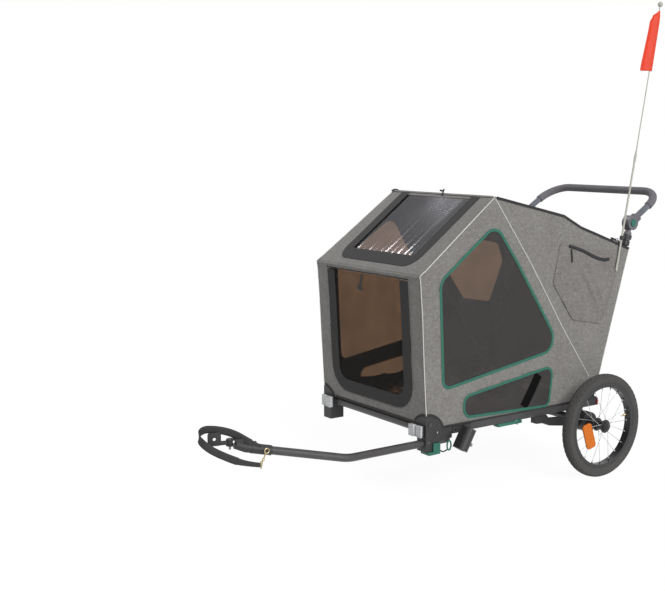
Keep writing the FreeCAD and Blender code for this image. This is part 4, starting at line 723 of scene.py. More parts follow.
# %% [markdown]
# ## Roof film
#
# The film is stiff and was folded for shipping, so it never lies quite flat: short creases stand up
# along its lower edge and one long roll runs up beside the left border. They are modelled, because
# real slopes catch the light where a painted streak would not. The drawing is the CAD film's, and a
# surface of its own adds the creases to the roof. Its grid is fine, because every bend in a glint
# shows.

# %% Roof film
FILM_FOOT = 800
FILM_RUN = 290
FILM_SUNK = 2.4
FILM_ROLL = (3.4, 190, 22)
CREASE_HEIGHT = 1.4
CREASE_WIDTH = 5.6
CREASE_FADE = (6.5, 4.0)
CREASE_SWERVE = 1.6


def film_surface(y, x, lift=0.0):
    up_slope = max(0.0, (FILM_FOOT - x) / FILM_RUN)
    fade = CREASE_FADE[0] + CREASE_FADE[1] * noise.noise(Vector((y / 30, 0, 9)))
    swerve = CREASE_SWERVE * noise.noise(Vector((y / 45, x / 120, 3)))
    creases = CREASE_HEIGHT * math.sin(y / CREASE_WIDTH + swerve) * math.exp(-up_slope * fade)
    roll = hill(y, *FILM_ROLL) * min(1.0, 4 * up_slope)
    return roof(y, x, lift - FILM_SUNK + creases + roll + slack(y, x, 150, 1.0, 7))


skin("film_roof_window", "roof_window", "yx", film_surface, "base", clear_film, step=2.5, thickness=0)

# %% [markdown]
# ## Bindings round the windows
#
# Each opening is edged with folded tape. A polygon with rounded corners is drawn a little larger
# than the opening, inset by the tape's width, and its middle is thrown away: what is left is the
# tape. `bmesh.ops.bevel` on single vertices rounds the corners, and the distance along the sides
# follows from the corner's angle, so every corner gets the same radius.

# %% Bindings round the windows


def grown(corners, by):
    """The same outline with every side moved outwards."""
    area = sum(a[0] * b[1] - b[0] * a[1] for a, b in zip(corners, corners[1:] + corners[:1]))
    turn = 1 if area > 0 else -1
    moved = []
    for before, here, after in zip(corners[-1:] + corners[:-1], corners, corners[1:] + corners[:1]):
        sides = [(Vector(b) - Vector(a)).normalized() for a, b in ((before, here), (here, after))]
        outs = [Vector((side.y, -side.x)) * turn for side in sides]
        corner = Vector(here) + (outs[0] + outs[1]) * (by / (1 + outs[0].dot(outs[1])))
        moved.append((corner.x, corner.y))
    return moved


def rounded_face(corners, radii):
    """One flat face in the drawing plane with round corners."""
    bm = bmesh.new()
    face = bm.faces.new([bm.verts.new((u, v, 0)) for u, v in corners])
    for vert, radius in zip(face.verts[:], radii):
        sides = [edge.other_vert(vert).co - vert.co for edge in vert.link_edges]
        reach = radius / math.tan(sides[0].angle(sides[1]) / 2)
        bmesh.ops.bevel(bm, geom=[vert], affect="VERTICES", offset=reach, segments=8, profile=0.5,
                        material=-1)
    return bm


def ring_tape(corners, radii, outside, inside):
    """The drawing of a tape round an opening, so far outside its edge and so far inside."""
    bm = rounded_face(grown(corners, outside), [radius + outside for radius in radii])
    bm.faces.ensure_lookup_table()
    middle = bm.faces[0]
    bmesh.ops.inset_region(bm, faces=[middle], thickness=outside + inside, use_even_offset=True,
                           use_boundary=True)
    bmesh.ops.delete(bm, geom=[middle], context="FACES_ONLY")
    return bm


def sewn(name, bm, surface, material=black_tape, body="base", step=18, lift=0.3, thickness=1.4):
    """A tape's drawing is sliced, laid on the cloth and given its thickness."""
    slice_up(bm, step)
    piece = finished(name, lay(bm, surface, lift), body, material)
    thicken(piece, thickness, 1, edge=0.6)
    folds_flat(piece)


def share_places(shares):
    """Outlines that are given as shares of the ridge's x and of the wall's height."""
    return [(RIDGE[0] * u, FRONT_FOOT[1] + (RIDGE[1] - FRONT_FOOT[1]) * v) for u, v in shares]


BIG_WINDOW = share_places([(0.998, 0.88), (0.394, 0.359), (0.394, 0.272), (1.512, 0.168), (1.556, 0.648)])
WEDGE_WINDOW = share_places([(0.42, 0.01), (1.306, 0.028), (1.317, 0.125), (0.377, 0.203)])
POCKET = share_places([(0.33, 0.78), (0.405, 0.589), (0.181, 0.41), (-0.15, 0.375), (-0.31, 0.6),
                       (-0.24, 0.705)])
BIG_RADII = [50, 50, 50, 32, 54]
WEDGE_RADII = [28, 36, 36, 34]
POCKET_RADII = [24] * 6
for side, wall, sign in SIDES:
    sewn(f"binding_big_{side}", ring_tape(BIG_WINDOW, BIG_RADII, 3.5, 7), wall, teal_tape)
    sewn(f"binding_wedge_{side}", ring_tape(WEDGE_WINDOW, WEDGE_RADII, 3, 7), wall, teal_tape)
sewn("binding_vent_right", ring_tape(POCKET, POCKET_RADII, 4, 8), right_wall)
print("bindings:", [name for name in made_pieces if name.startswith("binding")])

# %% [markdown]
# ## Door band and roof band
#
# The door is edged by a wide black band on three sides, and so is the roof film. Both are rings as
# before, with the fourth side cut off by a plane: `bisect_plane` can throw away one half.

# %% Door band and roof band


def cut_off(bm, place, **clear):
    """Throws away the part of a drawing above or below a line."""
    bisect(bm, Vector((0, place, 0)), Vector((0, 1, 0)), **clear)
    return bm


DOOR = [(-247, 341), (247, 341), (247, 1000), (-247, 1000)]
DOOR_HINGE = 811
DOOR_BAND = 46
door_band = cut_off(ring_tape(DOOR, [95] * 4, 0, DOOR_BAND), DOOR_HINGE, clear_outer=True)
sewn("band_door", door_band, front_wall, body="front_door", thickness=2.2)
ROOF_OPENING = [(-215, 800), (-215, 440), (215, 440), (215, 800)]
FILM_TOP = 493
roof_band = cut_off(ring_tape(ROOF_OPENING, [40] * 4, 14, 32), FILM_TOP, clear_inner=True)
sewn("band_roof", roof_band, roof, thickness=2.0)
print("bands made")

# %% [markdown]
# ## Lines of piping
#
# A silver cord is sewn into the seams that join front, roof and rear to the sides, and one more runs
# from the ridge down the side. Piping is round, so it is a curve with a bevel that is turned into a
# mesh.

# %% Lines of piping
PIPING_WIDTH = 3.2
PIPING_LIFT = 0.8


def round_line(name, places, diameter, body, material, cyclic=False):
    """A round cord along straight runs through places in metres."""
    curve, spline = new_curve(name, "POLY", places)
    curve.bevel_depth = diameter / 2 * MM
    curve.bevel_resolution = 2
    curve.use_fill_caps = True
    spline.use_cyclic_u = cyclic
    return finished(name, mesh_of(curve), body, material)


def along(corners, surface, lift, step=25):
    """Places every so many millimetres along straight runs of a drawing."""
    places = []
    for a, b in zip(corners, corners[1:]):
        count = max(1, round((Vector(b) - Vector(a)).length / step))
        places += [surface(*Vector(a).lerp(Vector(b), i / count), lift) for i in range(count)]
    return places + [surface(*corners[-1], lift)]


SEAMS = {
    "front": [(811, 338), (844, 826), (845, 834), (842, 838)],
    "roof": [(842, 838), (487, 1097)],
    "flank": [(484, 1092), (133, 580), (-15, 380)],
    "rear": [(-221, 872), (-46, 300)],
}
for side, wall, sign in SIDES:
    for seam, corners in SEAMS.items():
        places = along(corners, wall, PIPING_LIFT)
        folds_flat(round_line(f"piping_{seam}_{side}", places, PIPING_WIDTH, "base", piping))
print("piping made")

# %% [markdown]
# ## Hems and edge tapes
#
# The cover's open edges are folded round black tape: along the rail, round the notch over each
# corner bracket, down the sagging rear edge of the roof, and below the door. A thin black line lies
# along the joint under the overhanging fold above the door. Strips of the grey cloth cover the rear
# corners and the ridge. A strip is drawn as a row of quads by extruding its first edge along the
# line. A round roll of cloth closes the fold between front and roof.

# %% Hems and edge tapes


def strip_tape(corners, width):
    """The drawing of a straight-sided tape whose middle runs through these corners."""
    line = [Vector((u, v, 0)) for u, v in corners]
    bm = bmesh.new()
    last = len(line) - 1
    ends = []
    for i, place in enumerate(line):
        run = (line[min(i + 1, last)] - line[max(i - 1, 0)]).normalized()
        aside = Vector((-run.y, run.x, 0)) * (width / 2)
        if i == 0:
            ends = [bm.verts.new(place + aside), bm.verts.new(place - aside)]
            edge = bm.edges.new(ends)
            continue
        moved = bmesh.ops.extrude_edge_only(bm, edges=[edge])["geom"]
        edge = next(part for part in moved if isinstance(part, bmesh.types.BMEdge))
        links = [(vert, link) for vert in edge.verts for link in vert.link_edges if link is not edge]
        pairs = {link.other_vert(vert): vert for vert, link in links}
        ends = [pairs[ends[0]], pairs[ends[1]]]
        ends[0].co = place + aside
        ends[1].co = place - aside
    return bm


def tape(name, corners, width, surface, *material, **sewing):
    """A tape of this width is sewn on along these corners."""
    sewn(name, strip_tape(corners, width), surface, *material, **sewing)


def arc(center, radius, start, end, steps=14):
    """Corners along an arc of a drawing, in degrees."""
    turns = [math.radians(start + (end - start) * i / steps) for i in range(steps + 1)]
    return [(center[0] + radius * math.cos(turn), center[1] + radius * math.sin(turn)) for turn in turns]


SAG_EDGE = [(x, z - 5) for x, z in [(478, 1100)] + SAG[1:]]
BRACKET_NOTCH = 75
NOTCH_LEVEL = 265
for side, wall, sign in SIDES:
    tape(f"hem_rail_{side}", [(-22, 288), (736, 288)], 8, wall)
    side_arc = arc((806, NOTCH_LEVEL), BRACKET_NOTCH, 88, 166)
    tape(f"hem_bracket_{side}", side_arc, 9, wall, step=60)
    front_arc = [(sign * y, z) for y, z in arc((314, NOTCH_LEVEL), BRACKET_NOTCH, 90, 153)]
    tape(f"hem_corner_{side}", front_arc, 9, front_wall, step=60)
    tape(f"hem_sag_{side}", SAG_EDGE, 10, wall)
    rear_edge = [(sign * 298, 866), (sign * 298, 345)]
    tape(f"hem_rear_{side}", rear_edge, 37, rear_wall, grey_canvas, lift=1.0, thickness=1.2)
# A thin black line along the joint under the fold above the door.
tape("black_line_eaves", [(-252, 818), (252, 818)], 4, front_wall)
tape("hem_ridge", [(-288, 490), (288, 490)], 7, roof, grey_canvas, thickness=3.0)
fold_line = [at(FRONT_FOLD[0], y, 831) for y in range(-310, 311, 20)]
folds_flat(round_line("fold_front", fold_line, 11, "base", grey_canvas))
tape("hem_front_foot", [(-240, 304), (240, 304)], 9, front_wall)
print("hems made")

# %% [markdown]
# ## Side pocket
#
# The left wall carries a zipped pocket behind the window. Its cloth is a rounded panel that bags out
# a few millimetres in the middle, because nothing pulls it tight, and folds hang from the zip. Both
# fade out with the distance from the pocket's middle.

# %% Side pocket
POCKET_MIDDLE = Vector((20, 740))
POCKET_REACH = 200
POCKET_BAG = 3.0
POCKET_LIFT = 1.2
ZIP_LEVEL = 860
FOLD_FADE = 90
FOLD_FOOT = 620
FOLD_RUN = 230
FOLD_WIDTH = 10
POCKET_FOLDS = [(80, -52, 11.0), (24, -88, 8.0), (124, 6, 5.0)]


def pocket_surface(x, z, lift=0.0):
    inward = 1 - min(1.0, (Vector((x, z)) - POCKET_MIDDLE).length / POCKET_REACH)
    below_zip = clamp((ZIP_LEVEL - z) / FOLD_FADE)
    hang = slack(x + 0.35 * z, z * 0.22, 34, 6.0, 31) * below_zip
    for top, foot, height in POCKET_FOLDS:
        line = foot + (top - foot) * clamp((z - FOLD_FOOT) / FOLD_RUN) ** 1.4
        hang += hill(x, height, line, FOLD_WIDTH) * below_zip
    return left_wall(x, z, lift + POCKET_LIFT + (POCKET_BAG + hang) * inward ** 0.6)


pocket_drawing = rounded_face(POCKET, POCKET_RADII)
slice_up(pocket_drawing, 6)
pocket = finished("canvas_pocket", lay(pocket_drawing, pocket_surface, 0.0), "base", pocket_canvas)
thicken(pocket, 1, -1)
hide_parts("side_pocket")
folds_flat(pocket)
hem = ring_tape(POCKET, POCKET_RADII, 3, 6)
sewn("hem_pocket", hem, pocket_surface, pocket_canvas, lift=0.2, thickness=0.8)

ZIP = [(117, 902), (84, 893), (40, 879), (0, 861), (-40, 845), (-81, 837), (-107, 839)]
ZIP_PULL = [(107, 890), (104, 840)]
tape("zip_tape", ZIP, 13, pocket_surface, lift=0.4, thickness=0.8)
zip_places = along(ZIP, pocket_surface, 1.8, step=8)
folds_flat(round_line("zip_coil", zip_places, 4.5, "base", moulded_nylon))
tape("zip_pull", ZIP_PULL, 7, pocket_surface, black_webbing, lift=3.0, thickness=2.0)

# %% [markdown]
# ## Floor liner
#
# A loose sheet of black vinyl covers the floor board and turns up along both walls. It is a little
# too large, so it lies in low folds and heaps up at the door, where it shines. A grid is lifted by
# ridged noise: the absolute value of a noise has the sharp crests that creased vinyl has.

# %% Floor liner
LINER_HALF = 286
LINER_HALF_CUT = 340
LINER_REST = 1.5
LINER_FOLD = 30
LINER_CRUMPLE = 5
DOOR_HEAP = 60
HEAP_FROM = 0.72
board_low, board_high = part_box("floor_board")
liner = bmesh.new()
bmesh.ops.create_grid(liner, x_segments=120, y_segments=90, size=1.0)
for vert in liner.verts:
    x = board_low.x + (vert.co.x + 1) / 2 * (board_high.x - board_low.x)
    along_cut = vert.co.y * LINER_HALF_CUT * MM
    y = max(-LINER_HALF * MM, min(LINER_HALF * MM, along_cut))
    lip = abs(along_cut - y) / MM
    crest = 1 - abs(noise.noise(Vector((x * 9, along_cut * 5, 2))))
    small = noise.noise(Vector((x * 25, along_cut * 25, 4)))
    edge = min(1.0, (1 - abs(vert.co.x)) * 8)
    at_door = max(0.0, (vert.co.x - HEAP_FROM) / (1 - HEAP_FROM))
    heaped = DOOR_HEAP * at_door ** 1.5 * (1 - vert.co.y ** 4) * (0.75 + 0.45 * crest ** 3)
    creased = (LINER_FOLD * crest ** 6 + LINER_CRUMPLE * small ** 2) * edge * (0.3 if lip else 1.0)
    vert.co = (x, y, board_high.z + (LINER_REST + max(lip, heaped) + creased) * MM)
liner_sheet = finished("vinyl_liner", liner, "base", liner_film)
thicken(liner_sheet, 0.8, 1)
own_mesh(liner_sheet)
print("liner of", len(liner_sheet.data.polygons), "faces")

# %% [markdown]
# ## Tyres
#
# A wheel's pieces are drawn in millimetres round the axle's middle, outwards along +Y, and
# `in_wheel` puts them on their side. A tyre is a turned shape: its section spins round the axle. The
# tread comes after: faces near the crown are inset one by one and pushed out, which leaves a groove
# round each block. Before that the rows are twisted against each other, so the blocks stand in a
# zigzag as on the real shoulders.

# %% Tyres
AXLE_UP = 203
WHEEL_OUT = 402
TYRE_HALF_SECTION = [(0, 201), (6, 200.6), (12, 199), (17, 195), (20, 189), (21, 182), (19.5, 174),
                     (15, 167.4)]
TYRE_STEPS = 54
TWIST_FROM = 188
TWIST_PER_MM = math.radians(5) / 20
TREAD_FROM = 190
HALF_GROOVE = 2.4
TREAD_DEPTH = 2.2


def in_wheel(name, bm, side, sign, material):
    mirrored = Matrix.Diagonal((MM, sign * MM, MM, 1))
    bm.transform(Matrix.Translation(at(0, sign * WHEEL_OUT, AXLE_UP)) @ mirrored)
    bmesh.ops.recalc_face_normals(bm, faces=bm.faces[:])
    return finished(f"{name}_{side}", bm, f"wheel_{side}", material)


def tyre():
    bm = bmesh.new()
    section = [(-y, r) for y, r in reversed(TYRE_HALF_SECTION)] + TYRE_HALF_SECTION[1:]
    verts = [bm.verts.new((0, y, r)) for y, r in section]
    edges = [bm.edges.new(pair) for pair in zip(verts, verts[1:] + verts[:1])]
    bmesh.ops.spin(bm, geom=verts + edges, cent=(0, 0, 0), axis=(0, 1, 0), angle=2 * math.pi,
                   steps=TYRE_STEPS, use_merge=True)
    bmesh.ops.remove_doubles(bm, verts=bm.verts[:], dist=0.01)
    bmesh.ops.recalc_face_normals(bm, faces=bm.faces[:])
    for vert in bm.verts:
        if vert.co.xz.length > TWIST_FROM:
            vert.co = Matrix.Rotation(TWIST_PER_MM * abs(vert.co.y), 3, "Y") @ vert.co
    crown = [face for face in bm.faces if face.calc_center_median().xz.length > TREAD_FROM]
    bmesh.ops.inset_individual(bm, faces=crown, thickness=HALF_GROOVE, depth=TREAD_DEPTH,
                               use_even_offset=True)
    keep_sharp(bm)
    return bm


for side, wall, sign in SIDES:
    piece = in_wheel("treaded_tyre", tyre(), side, sign, tyre_rubber)
    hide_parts(f"tyre_{side}")
print("tyres of", len(piece.data.polygons), "faces")

# %% [markdown]
# ## Spoke nipples, valve and hub cap
#
# Each spoke ends in a steel nipple in the rim, and the tube's brass valve stands on the rim between
# two spokes. They are small cones and cylinders, put in place with a matrix that turns their length
# along the spoke. The hub's outer end has a six-sided cap.

# %% Spoke nipples, valve and hub cap
SPOKE_COUNT = 20
RIM_INSIDE = 152
FLANGE_RADIUS = 27
FLANGE_OUT = 20
SPOKE_CROSS = math.radians(22)
NIPPLE_SHARE = 0.1
VALVE_TURN = math.radians(170)
VALVE_RADII = (RIM_INSIDE, 128, 118)
CAP_OUT = (30, 35, 38)


def on_wheel(turn, radius, out=0):
    return Vector((radius * math.cos(turn), out, radius * math.sin(turn)))


def pin_between(bm, start, end, foot_radius, head_radius, segments=10):
    """A cone or a cylinder between two places in millimetres."""
    run = end - start
    turn = Vector((0, 0, 1)).rotation_difference(run).to_matrix().to_4x4()
    bmesh.ops.create_cone(bm, cap_ends=True, segments=segments, radius1=foot_radius, radius2=head_radius,
                          depth=run.length, matrix=Matrix.Translation((start + end) / 2) @ turn)


for side, wall, sign in SIDES:
    nipples = bmesh.new()
    for i in range(SPOKE_COUNT):
        out = 1 if i % 2 == 0 else -1
        lead = 1 if (i // 2) % 2 == 0 else -1
        turn = 2 * math.pi * i / SPOKE_COUNT
        hub_end = on_wheel(turn + lead * SPOKE_CROSS, FLANGE_RADIUS, out * FLANGE_OUT)
        rim_end = on_wheel(turn, RIM_INSIDE)
        pin_between(nipples, rim_end, rim_end.lerp(hub_end, NIPPLE_SHARE), 2.6, 1.7, 8)
    in_wheel("spoke_nipples", nipples, side, sign, spoke_steel)
    valve = bmesh.new()
    foot, neck, tip = (on_wheel(VALVE_TURN, radius) for radius in VALVE_RADII)
    pin_between(valve, foot, neck, 4, 3.5)
    pin_between(valve, neck, tip, 2.6, 2.6)
    in_wheel("tube_valve", valve, side, sign, brass)
    cap = bmesh.new()
    foot, shoulder, tip = (Vector((0, out, 0)) for out in CAP_OUT)
    pin_between(cap, foot, shoulder, 14, 12, 6)
    pin_between(cap, shoulder, tip, 5, 4, 12)
    round_off(in_wheel("hub_cap", cap, side, sign, moulded_nylon), 1.0)
print("wheel details made")

# %% [markdown]
# ## Moulded and cast pieces
#
# CAD solids have knife edges, and real mouldings never do: the radius on an edge is what catches
# the light. A copy of each node's mesh is merged, since it comes as loose triangles, its flat areas
# are joined again, and a Bevel modifier rounds it. The copy stands for the node. The push handle's
# hubs are grey nylon, so the faces there take a second material. The collar's lug is cut down to a
# stub, because the strap's end is sewn round it and hides the rest.

# %% Moulded and cast pieces


def moulded(node, material, edge):
    bm = merged_copy(node, 0.01)
    bmesh.ops.dissolve_limit(bm, angle_limit=math.radians(0.5), verts=bm.verts[:], edges=bm.edges[:])
    keep_sharp(bm)
    piece = finished(f"{node}_moulded", bm, nodes[node]["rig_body"], material)
    round_off(piece, edge)
    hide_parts(node)


MOULDED = {
    (moulded_nylon, 2.5): ["corner_bracket_left", "corner_bracket_right"],
    (moulded_nylon, 2.0): ["axle_arm_left", "axle_arm_right"],
    (moulded_nylon, 1.5): ["rear_hinges", "stroller_socket", "bar_collar"],
    (moulded_nylon, 1.2): ["hitch_socket", "hitch_plate"],
    (moulded_nylon, 1.0): ["flag_clip", "hub_left", "hub_right"],
    (grey_nylon, 2.0): ["post_collars"],
    (teal_nylon, 2.0): ["handle_button_left", "handle_button_right"],
    (foam_rubber, 4.0): ["handle_grip"],
    (handle_paint, 1.5): ["push_handle"],
    (amber_lens, 1.0): ["wheel_reflector_left", "wheel_reflector_right"],
    (red_lens, 1.0): ["rear_reflectors"],
    (zinc_steel, 0.8): ["socket_pin"],
}
HANDLE_HUB = at(-240, 304.3, 975)
HUB_REACH = 48
LUG_TOP = 327
for (material, edge), names in MOULDED.items():
    for node in names:
        moulded(node, material, edge)
handle = made_pieces["push_handle_moulded"].data
handle.materials.append(grey_nylon)
for face in handle.polygons:
    if (face.center.xz - HANDLE_HUB.xz).length < HUB_REACH * MM:
        face.material_index = 1
collar_mesh = made_pieces["bar_collar_moulded"].data
collar = bmesh.new()
collar.from_mesh(collar_mesh)
bisect(collar, at(0, 0, LUG_TOP), (0, 0, 1), 0.01 * MM, clear_outer=True)
bmesh.ops.holes_fill(collar, edges=[edge for edge in collar.edges if edge.is_boundary], sides=0)
collar.to_mesh(collar_mesh)
collar.free()
print(sum(len(names) for names in MOULDED.values()), "moulded pieces")

# %% [markdown]
# ## Front lights
#
# Under each front corner sits a clear reflector of two silver panes side by side. A block is
# bevelled for the housing, and each pane is a second block with an inset face, so that a rim runs
# round the prisms.

# %% Front lights
LIGHT_WIDTH = 66
HOUSING_DEPTH = 9
PANE_WIDTH = 29
PANE_PITCH = 35
PANE_STEP = 5
PANE_RIM = 2.0
PANE_SUNK = 1.2
light_low, light_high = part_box("front_reflectors")


def block(low, high, edge, rim=0.0):
    """A rounded block between two corners in metres, with its front face sunk in a rim if wanted."""
    bm = bmesh.new()
    middle = Matrix.Translation((low + high) / 2)
    bmesh.ops.create_cube(bm, size=1.0, matrix=middle @ Matrix.Diagonal((*(high - low), 1)))
    if rim:
        front = [face for face in bm.faces if face.normal.x > 0.9]
        bmesh.ops.inset_region(bm, faces=front, thickness=rim * MM, depth=-PANE_SUNK * MM,
                               use_even_offset=True, use_boundary=True)
    bmesh.ops.bevel(bm, geom=bm.edges[:], affect="EDGES", offset=edge * MM, segments=2, profile=0.5,
                    material=-1, clamp_overlap=True)
    return bm


for side, wall, sign in SIDES:
    outer = light_high.y
    ends = sorted((sign * outer, sign * (outer - LIGHT_WIDTH * MM)))
    housing = block(Vector((light_low.x, ends[0], light_low.z)),
                    Vector((light_low.x + HOUSING_DEPTH * MM, ends[1], light_high.z)), 2.0)
    holder = finished(f"light_housing_{side}", housing, "base", moulded_nylon)
    for i in range(2):
        near = outer - (1 + PANE_PITCH * i) * MM
        ends = sorted((sign * near, sign * (near - PANE_WIDTH * MM)))
        low = Vector((light_low.x + (HOUSING_DEPTH - 1) * MM, ends[0], light_low.z + MM))
        high = Vector((light_high.x - PANE_STEP * (1 - i) * MM, ends[1], light_high.z - MM))
        finished(f"light_pane_{side}_{i}", block(low, high, 1.2, PANE_RIM), "base", silver_lens)
    if side == "left":
        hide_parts("front_reflectors")
print("lights made")

# %% [markdown]
# ## Ties, strap and slide
#
# Elastic ties hold the cover to the hoop at the ridge and at the rear corners, there through a metal
# eyelet. A short strap with a plastic slide hangs over the door and holds it when it is rolled up,
# and a wide, near-black band with almost no gloss lies over the lower window on the left. Ties are
# round lines along NURBS curves. The flat ones are tapes like the hems.

# %% Ties, strap and slide
WINDOW_STRAP = [(262, 422), (296, 366), (338, 306)]
DOOR_STRAP = [(-22, DOOR_HINGE), (-31, 779), (-39, 757)]
DOOR_SLIDE = [(-52, 757), (-28, 750), (-26, 758), (-50, 765)]
RIDGE_TIES = {
    "middle": [(498, 20, 1092), (490, 14, 1104), (478, 4, 1114), (466, -8, 1112), (462, -22, 1106),
               (468, -30, 1110)],
    "far": [(470, -282, 1098), (486, -286, 1109), (500, -292, 1098)],
}
REAR_TIE = [(-116, 920), (-138, 914), (-164, 904)]
POST_TIE = [(-166, 905), (-171, 866)]
EYELET = arc((-150, 913), 5.5, 0, 330, 11)
# A wide, near-black matte band laid outside the mesh across the lower window.
tape("dark_band_wedge", WINDOW_STRAP, 40, left_wall, matte_dark_band, lift=0.4, thickness=0.6)
tape("strap_door", DOOR_STRAP, 13, front_wall, black_webbing, body="front_door", lift=2.6, thickness=1.6)
slide = ring_tape(DOOR_SLIDE, [2] * 4, 2, 2)
sewn("slide_door", slide, front_wall, moulded_nylon, body="front_door", lift=2.0, thickness=4.0)
for name, route in RIDGE_TIES.items():
    folds_flat(round_line(f"tie_{name}", curve_line(route, resolution=6), 7, "base", black_webbing))
for side, wall, sign in SIDES:
    tape(f"tie_rear_{side}", REAR_TIE, 9, wall, black_webbing, lift=1.5, thickness=3.0)
    tape(f"tie_post_{side}", POST_TIE, 8, wall, black_webbing, lift=1.0)
    hole = [wall(x, z, 5.0) for x, z in EYELET]
    folds_flat(round_line(f"eyelet_rear_{side}", hole, 3, "base", spoke_steel, cyclic=True))
print("ties made")

# %% [markdown]
# ## Rings, latch and screws
#
# A dark ring closes each handle post under its collar. Below the left corner bracket a teal foot and
# upright make the latch, and a teal ring on a soft loop hangs behind it for the finger that pulls
# the bar free. A cheek stiffens each bracket behind its arm, and the fold slider under the rail is a
# teal bar with a flattened three-sided tooth. Screw heads are short cones, so that their rims are
# chamfered.

# %% Rings, latch and screws
POST_WAY = Vector((-0.294, 0, 0.956))
POST_OUT = 304.3
RING_SPAN = (600, 620)
RING_RADIUS = 16.5
BLOCKS = {
    "latch_foot": ((768, 278, 193.4), (803, 325.2, 205.4), 2.0, "tow_latch", teal_nylon),
    "latch_upright": ((750, 319.8, 194), (782, 326, 236), 2.0, "tow_latch", teal_nylon),
    "bracket_cheek_left": ((690, 312, 242), (776, 318.2, 284), 2.0, "base", moulded_nylon),
    "bracket_cheek_right": ((690, -318.2, 242), (776, -312, 284), 2.0, "base", moulded_nylon),
    "slider_bar": ((344, 292, 245.7), (466, 318.3, 257.4), 1.5, "fold_slider", teal_nylon),
}
RING_MIDDLE = (704, 318, 216)
RING_HALVES = (9, 17)
PULL_LOOP = [(757, 322, 215), (744, 320, 201), (728, 319, 196), (710, 318, 203)]
TOOTH = (Vector((369, 315.4, 255)), Vector((369, 318.4, 255)))
TOOTH_RADIUS = 19
TOOTH_FLAT = 0.7
SCREWS = ((761, 319, 272, 5), (761, -319, 272, 5), (800, 319, 240, 3), (800, -319, 240, 3),
          (676, 315, 270, 9), (676, 318, 270, 4))
SCREW_HEAD = 3

rings = bmesh.new()
for y in (-POST_OUT, POST_OUT):
    foot = Vector((POST_FOOT[0], y, POST_FOOT[1]))
    low, high = (foot + POST_WAY * up for up in RING_SPAN)
    pin_between(rings, low, high, RING_RADIUS, RING_RADIUS, 28)
round_off(finished("post_rings", in_metres(rings), "handle_posts", rim_paint), 2.0)
for name, (low, high, edge, body, material) in BLOCKS.items():
    finished(name, block(at(*low), at(*high), edge), body, material)
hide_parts("tow_latch")
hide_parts("fold_slider")
turns = [math.pi * i / 12 for i in range(24)]
oval = [at(RING_HALVES[0] * math.cos(turn), 0, RING_HALVES[1] * math.sin(turn)) for turn in turns]
round_line("pull_ring", [at(*RING_MIDDLE) + place for place in oval], 6, "base", teal_nylon, cyclic=True)
round_line("pull_loop", curve_line(PULL_LOOP, resolution=6), 5, "base", black_webbing)
tooth = bmesh.new()
pin_between(tooth, *TOOTH, TOOTH_RADIUS, TOOTH_RADIUS, 3)
bmesh.ops.scale(tooth, vec=(1, 1, TOOTH_FLAT), space=Matrix.Translation((0, 0, -TOOTH[0].z)),
                verts=tooth.verts[:])
finished("slider_tooth", in_metres(tooth), "fold_slider", teal_nylon)
screws = bmesh.new()
for x, y, z, size in SCREWS:
    foot = Vector((x, y, z))
    pin_between(screws, foot, foot + Vector((0, math.copysign(SCREW_HEAD, y), 0)), size, size * 0.8, 12)
finished("screw_heads", in_metres(screws), "base", zinc_steel)
print("rings and screws made")

# %% [markdown]
# ## Pennant
#
# The flag's thin cloth hangs limp in front of the rod in soft upright folds. A fine grid follows
# the same cut as the CAD solid: narrow at the top, then a straight drop. The folds are a wave that
# grows downwards, and a hem wraps the rod.

# %% Pennant
ROD_JOINT = at(-231, 326, 1241)
ROD_TOP = at(-343, 326, 1827)
rod_run = (ROD_TOP - ROD_JOINT).normalized()
PENNANT_START = 26.5
PENNANT_DROP = 237
PENNANT_WIDTH = 72
PENNANT_CUT = [(0, 0.12), (0.1, 0.64), (0.2, 0.82), (1, 1)]
HEM_SHARE = 0.14
FOLD_WAVE = [(-HEM_SHARE, 0), (0, 0), (0.3, 1), (0.62, 0.1), (1, 0.8)]
FOLD_DEPTH = 13
FLUTTER = 1.5
ROD_GAP = 3.6


def eased(rows, share):
    """A value that runs smoothly through rows of (share, value)."""
    for (s0, v0), (s1, v1) in zip(rows, rows[1:]):
        if share <= s1:
            break
    t = clamp((share - s0) / (s1 - s0))
    return v0 + (v1 - v0) * t * t * (3 - 2 * t)


pennant = bmesh.new()
bmesh.ops.create_grid(pennant, x_segments=28, y_segments=48, size=1.0)
for vert in pennant.verts:
    across = (vert.co.x + 1) / 2 * (1 + HEM_SHARE) - HEM_SHARE
    down = (1 - vert.co.y) / 2
    wide = eased(PENNANT_CUT, down)
    head = ROD_TOP - rod_run * ((PENNANT_START + PENNANT_DROP * down) * MM)
    flutter = FLUTTER * noise.noise(Vector((across * 4, down * 5, 1))) * across
    aside = ROD_GAP + FOLD_DEPTH * wide * eased(FOLD_WAVE, across) + flutter
    vert.co = head + at(PENNANT_WIDTH * wide * across, max(ROD_GAP, aside), 0)
flag = finished("nylon_pennant", pennant, "flag", flag_nylon)
thicken(flag, 0.8, 0)
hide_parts("flag_pennant")

# %% [markdown]
# ## Finishes of the CAD nodes that stay
#
# Tubes, spokes, pins and rods are right as they are. They only swap the plain grey from the CAD
# model for their real finish.

# %% Finishes of the CAD nodes that stay
KEPT = {
    powder_paint: ["side_rail_left", "side_rail_right", "rear_cross_tube", "axle_tube", "front_posts",
                   "main_hoop", "hinge_pins"],
    grey_nylon: ["handle_posts"],
    bar_paint: ["front_cross_tube", "tow_bar"],
    rim_paint: ["rim_left", "rim_right"],
    spoke_steel: ["spokes_left", "spokes_right"],
    zinc_steel: ["wheel_axles", "hub_bearings_left", "hub_bearings_right", "hitch_pin"],
    brass: ["snap_hook"],
    flag_fibre: ["flag_rod"],
    coated_lining: ["floor_board"],
}
for material, names in KEPT.items():
    for name in names:
        nodes[name].data.materials.clear()
        nodes[name].data.materials.append(material)
print(sum(len(names) for names in KEPT.values()), "CAD nodes keep their shape")
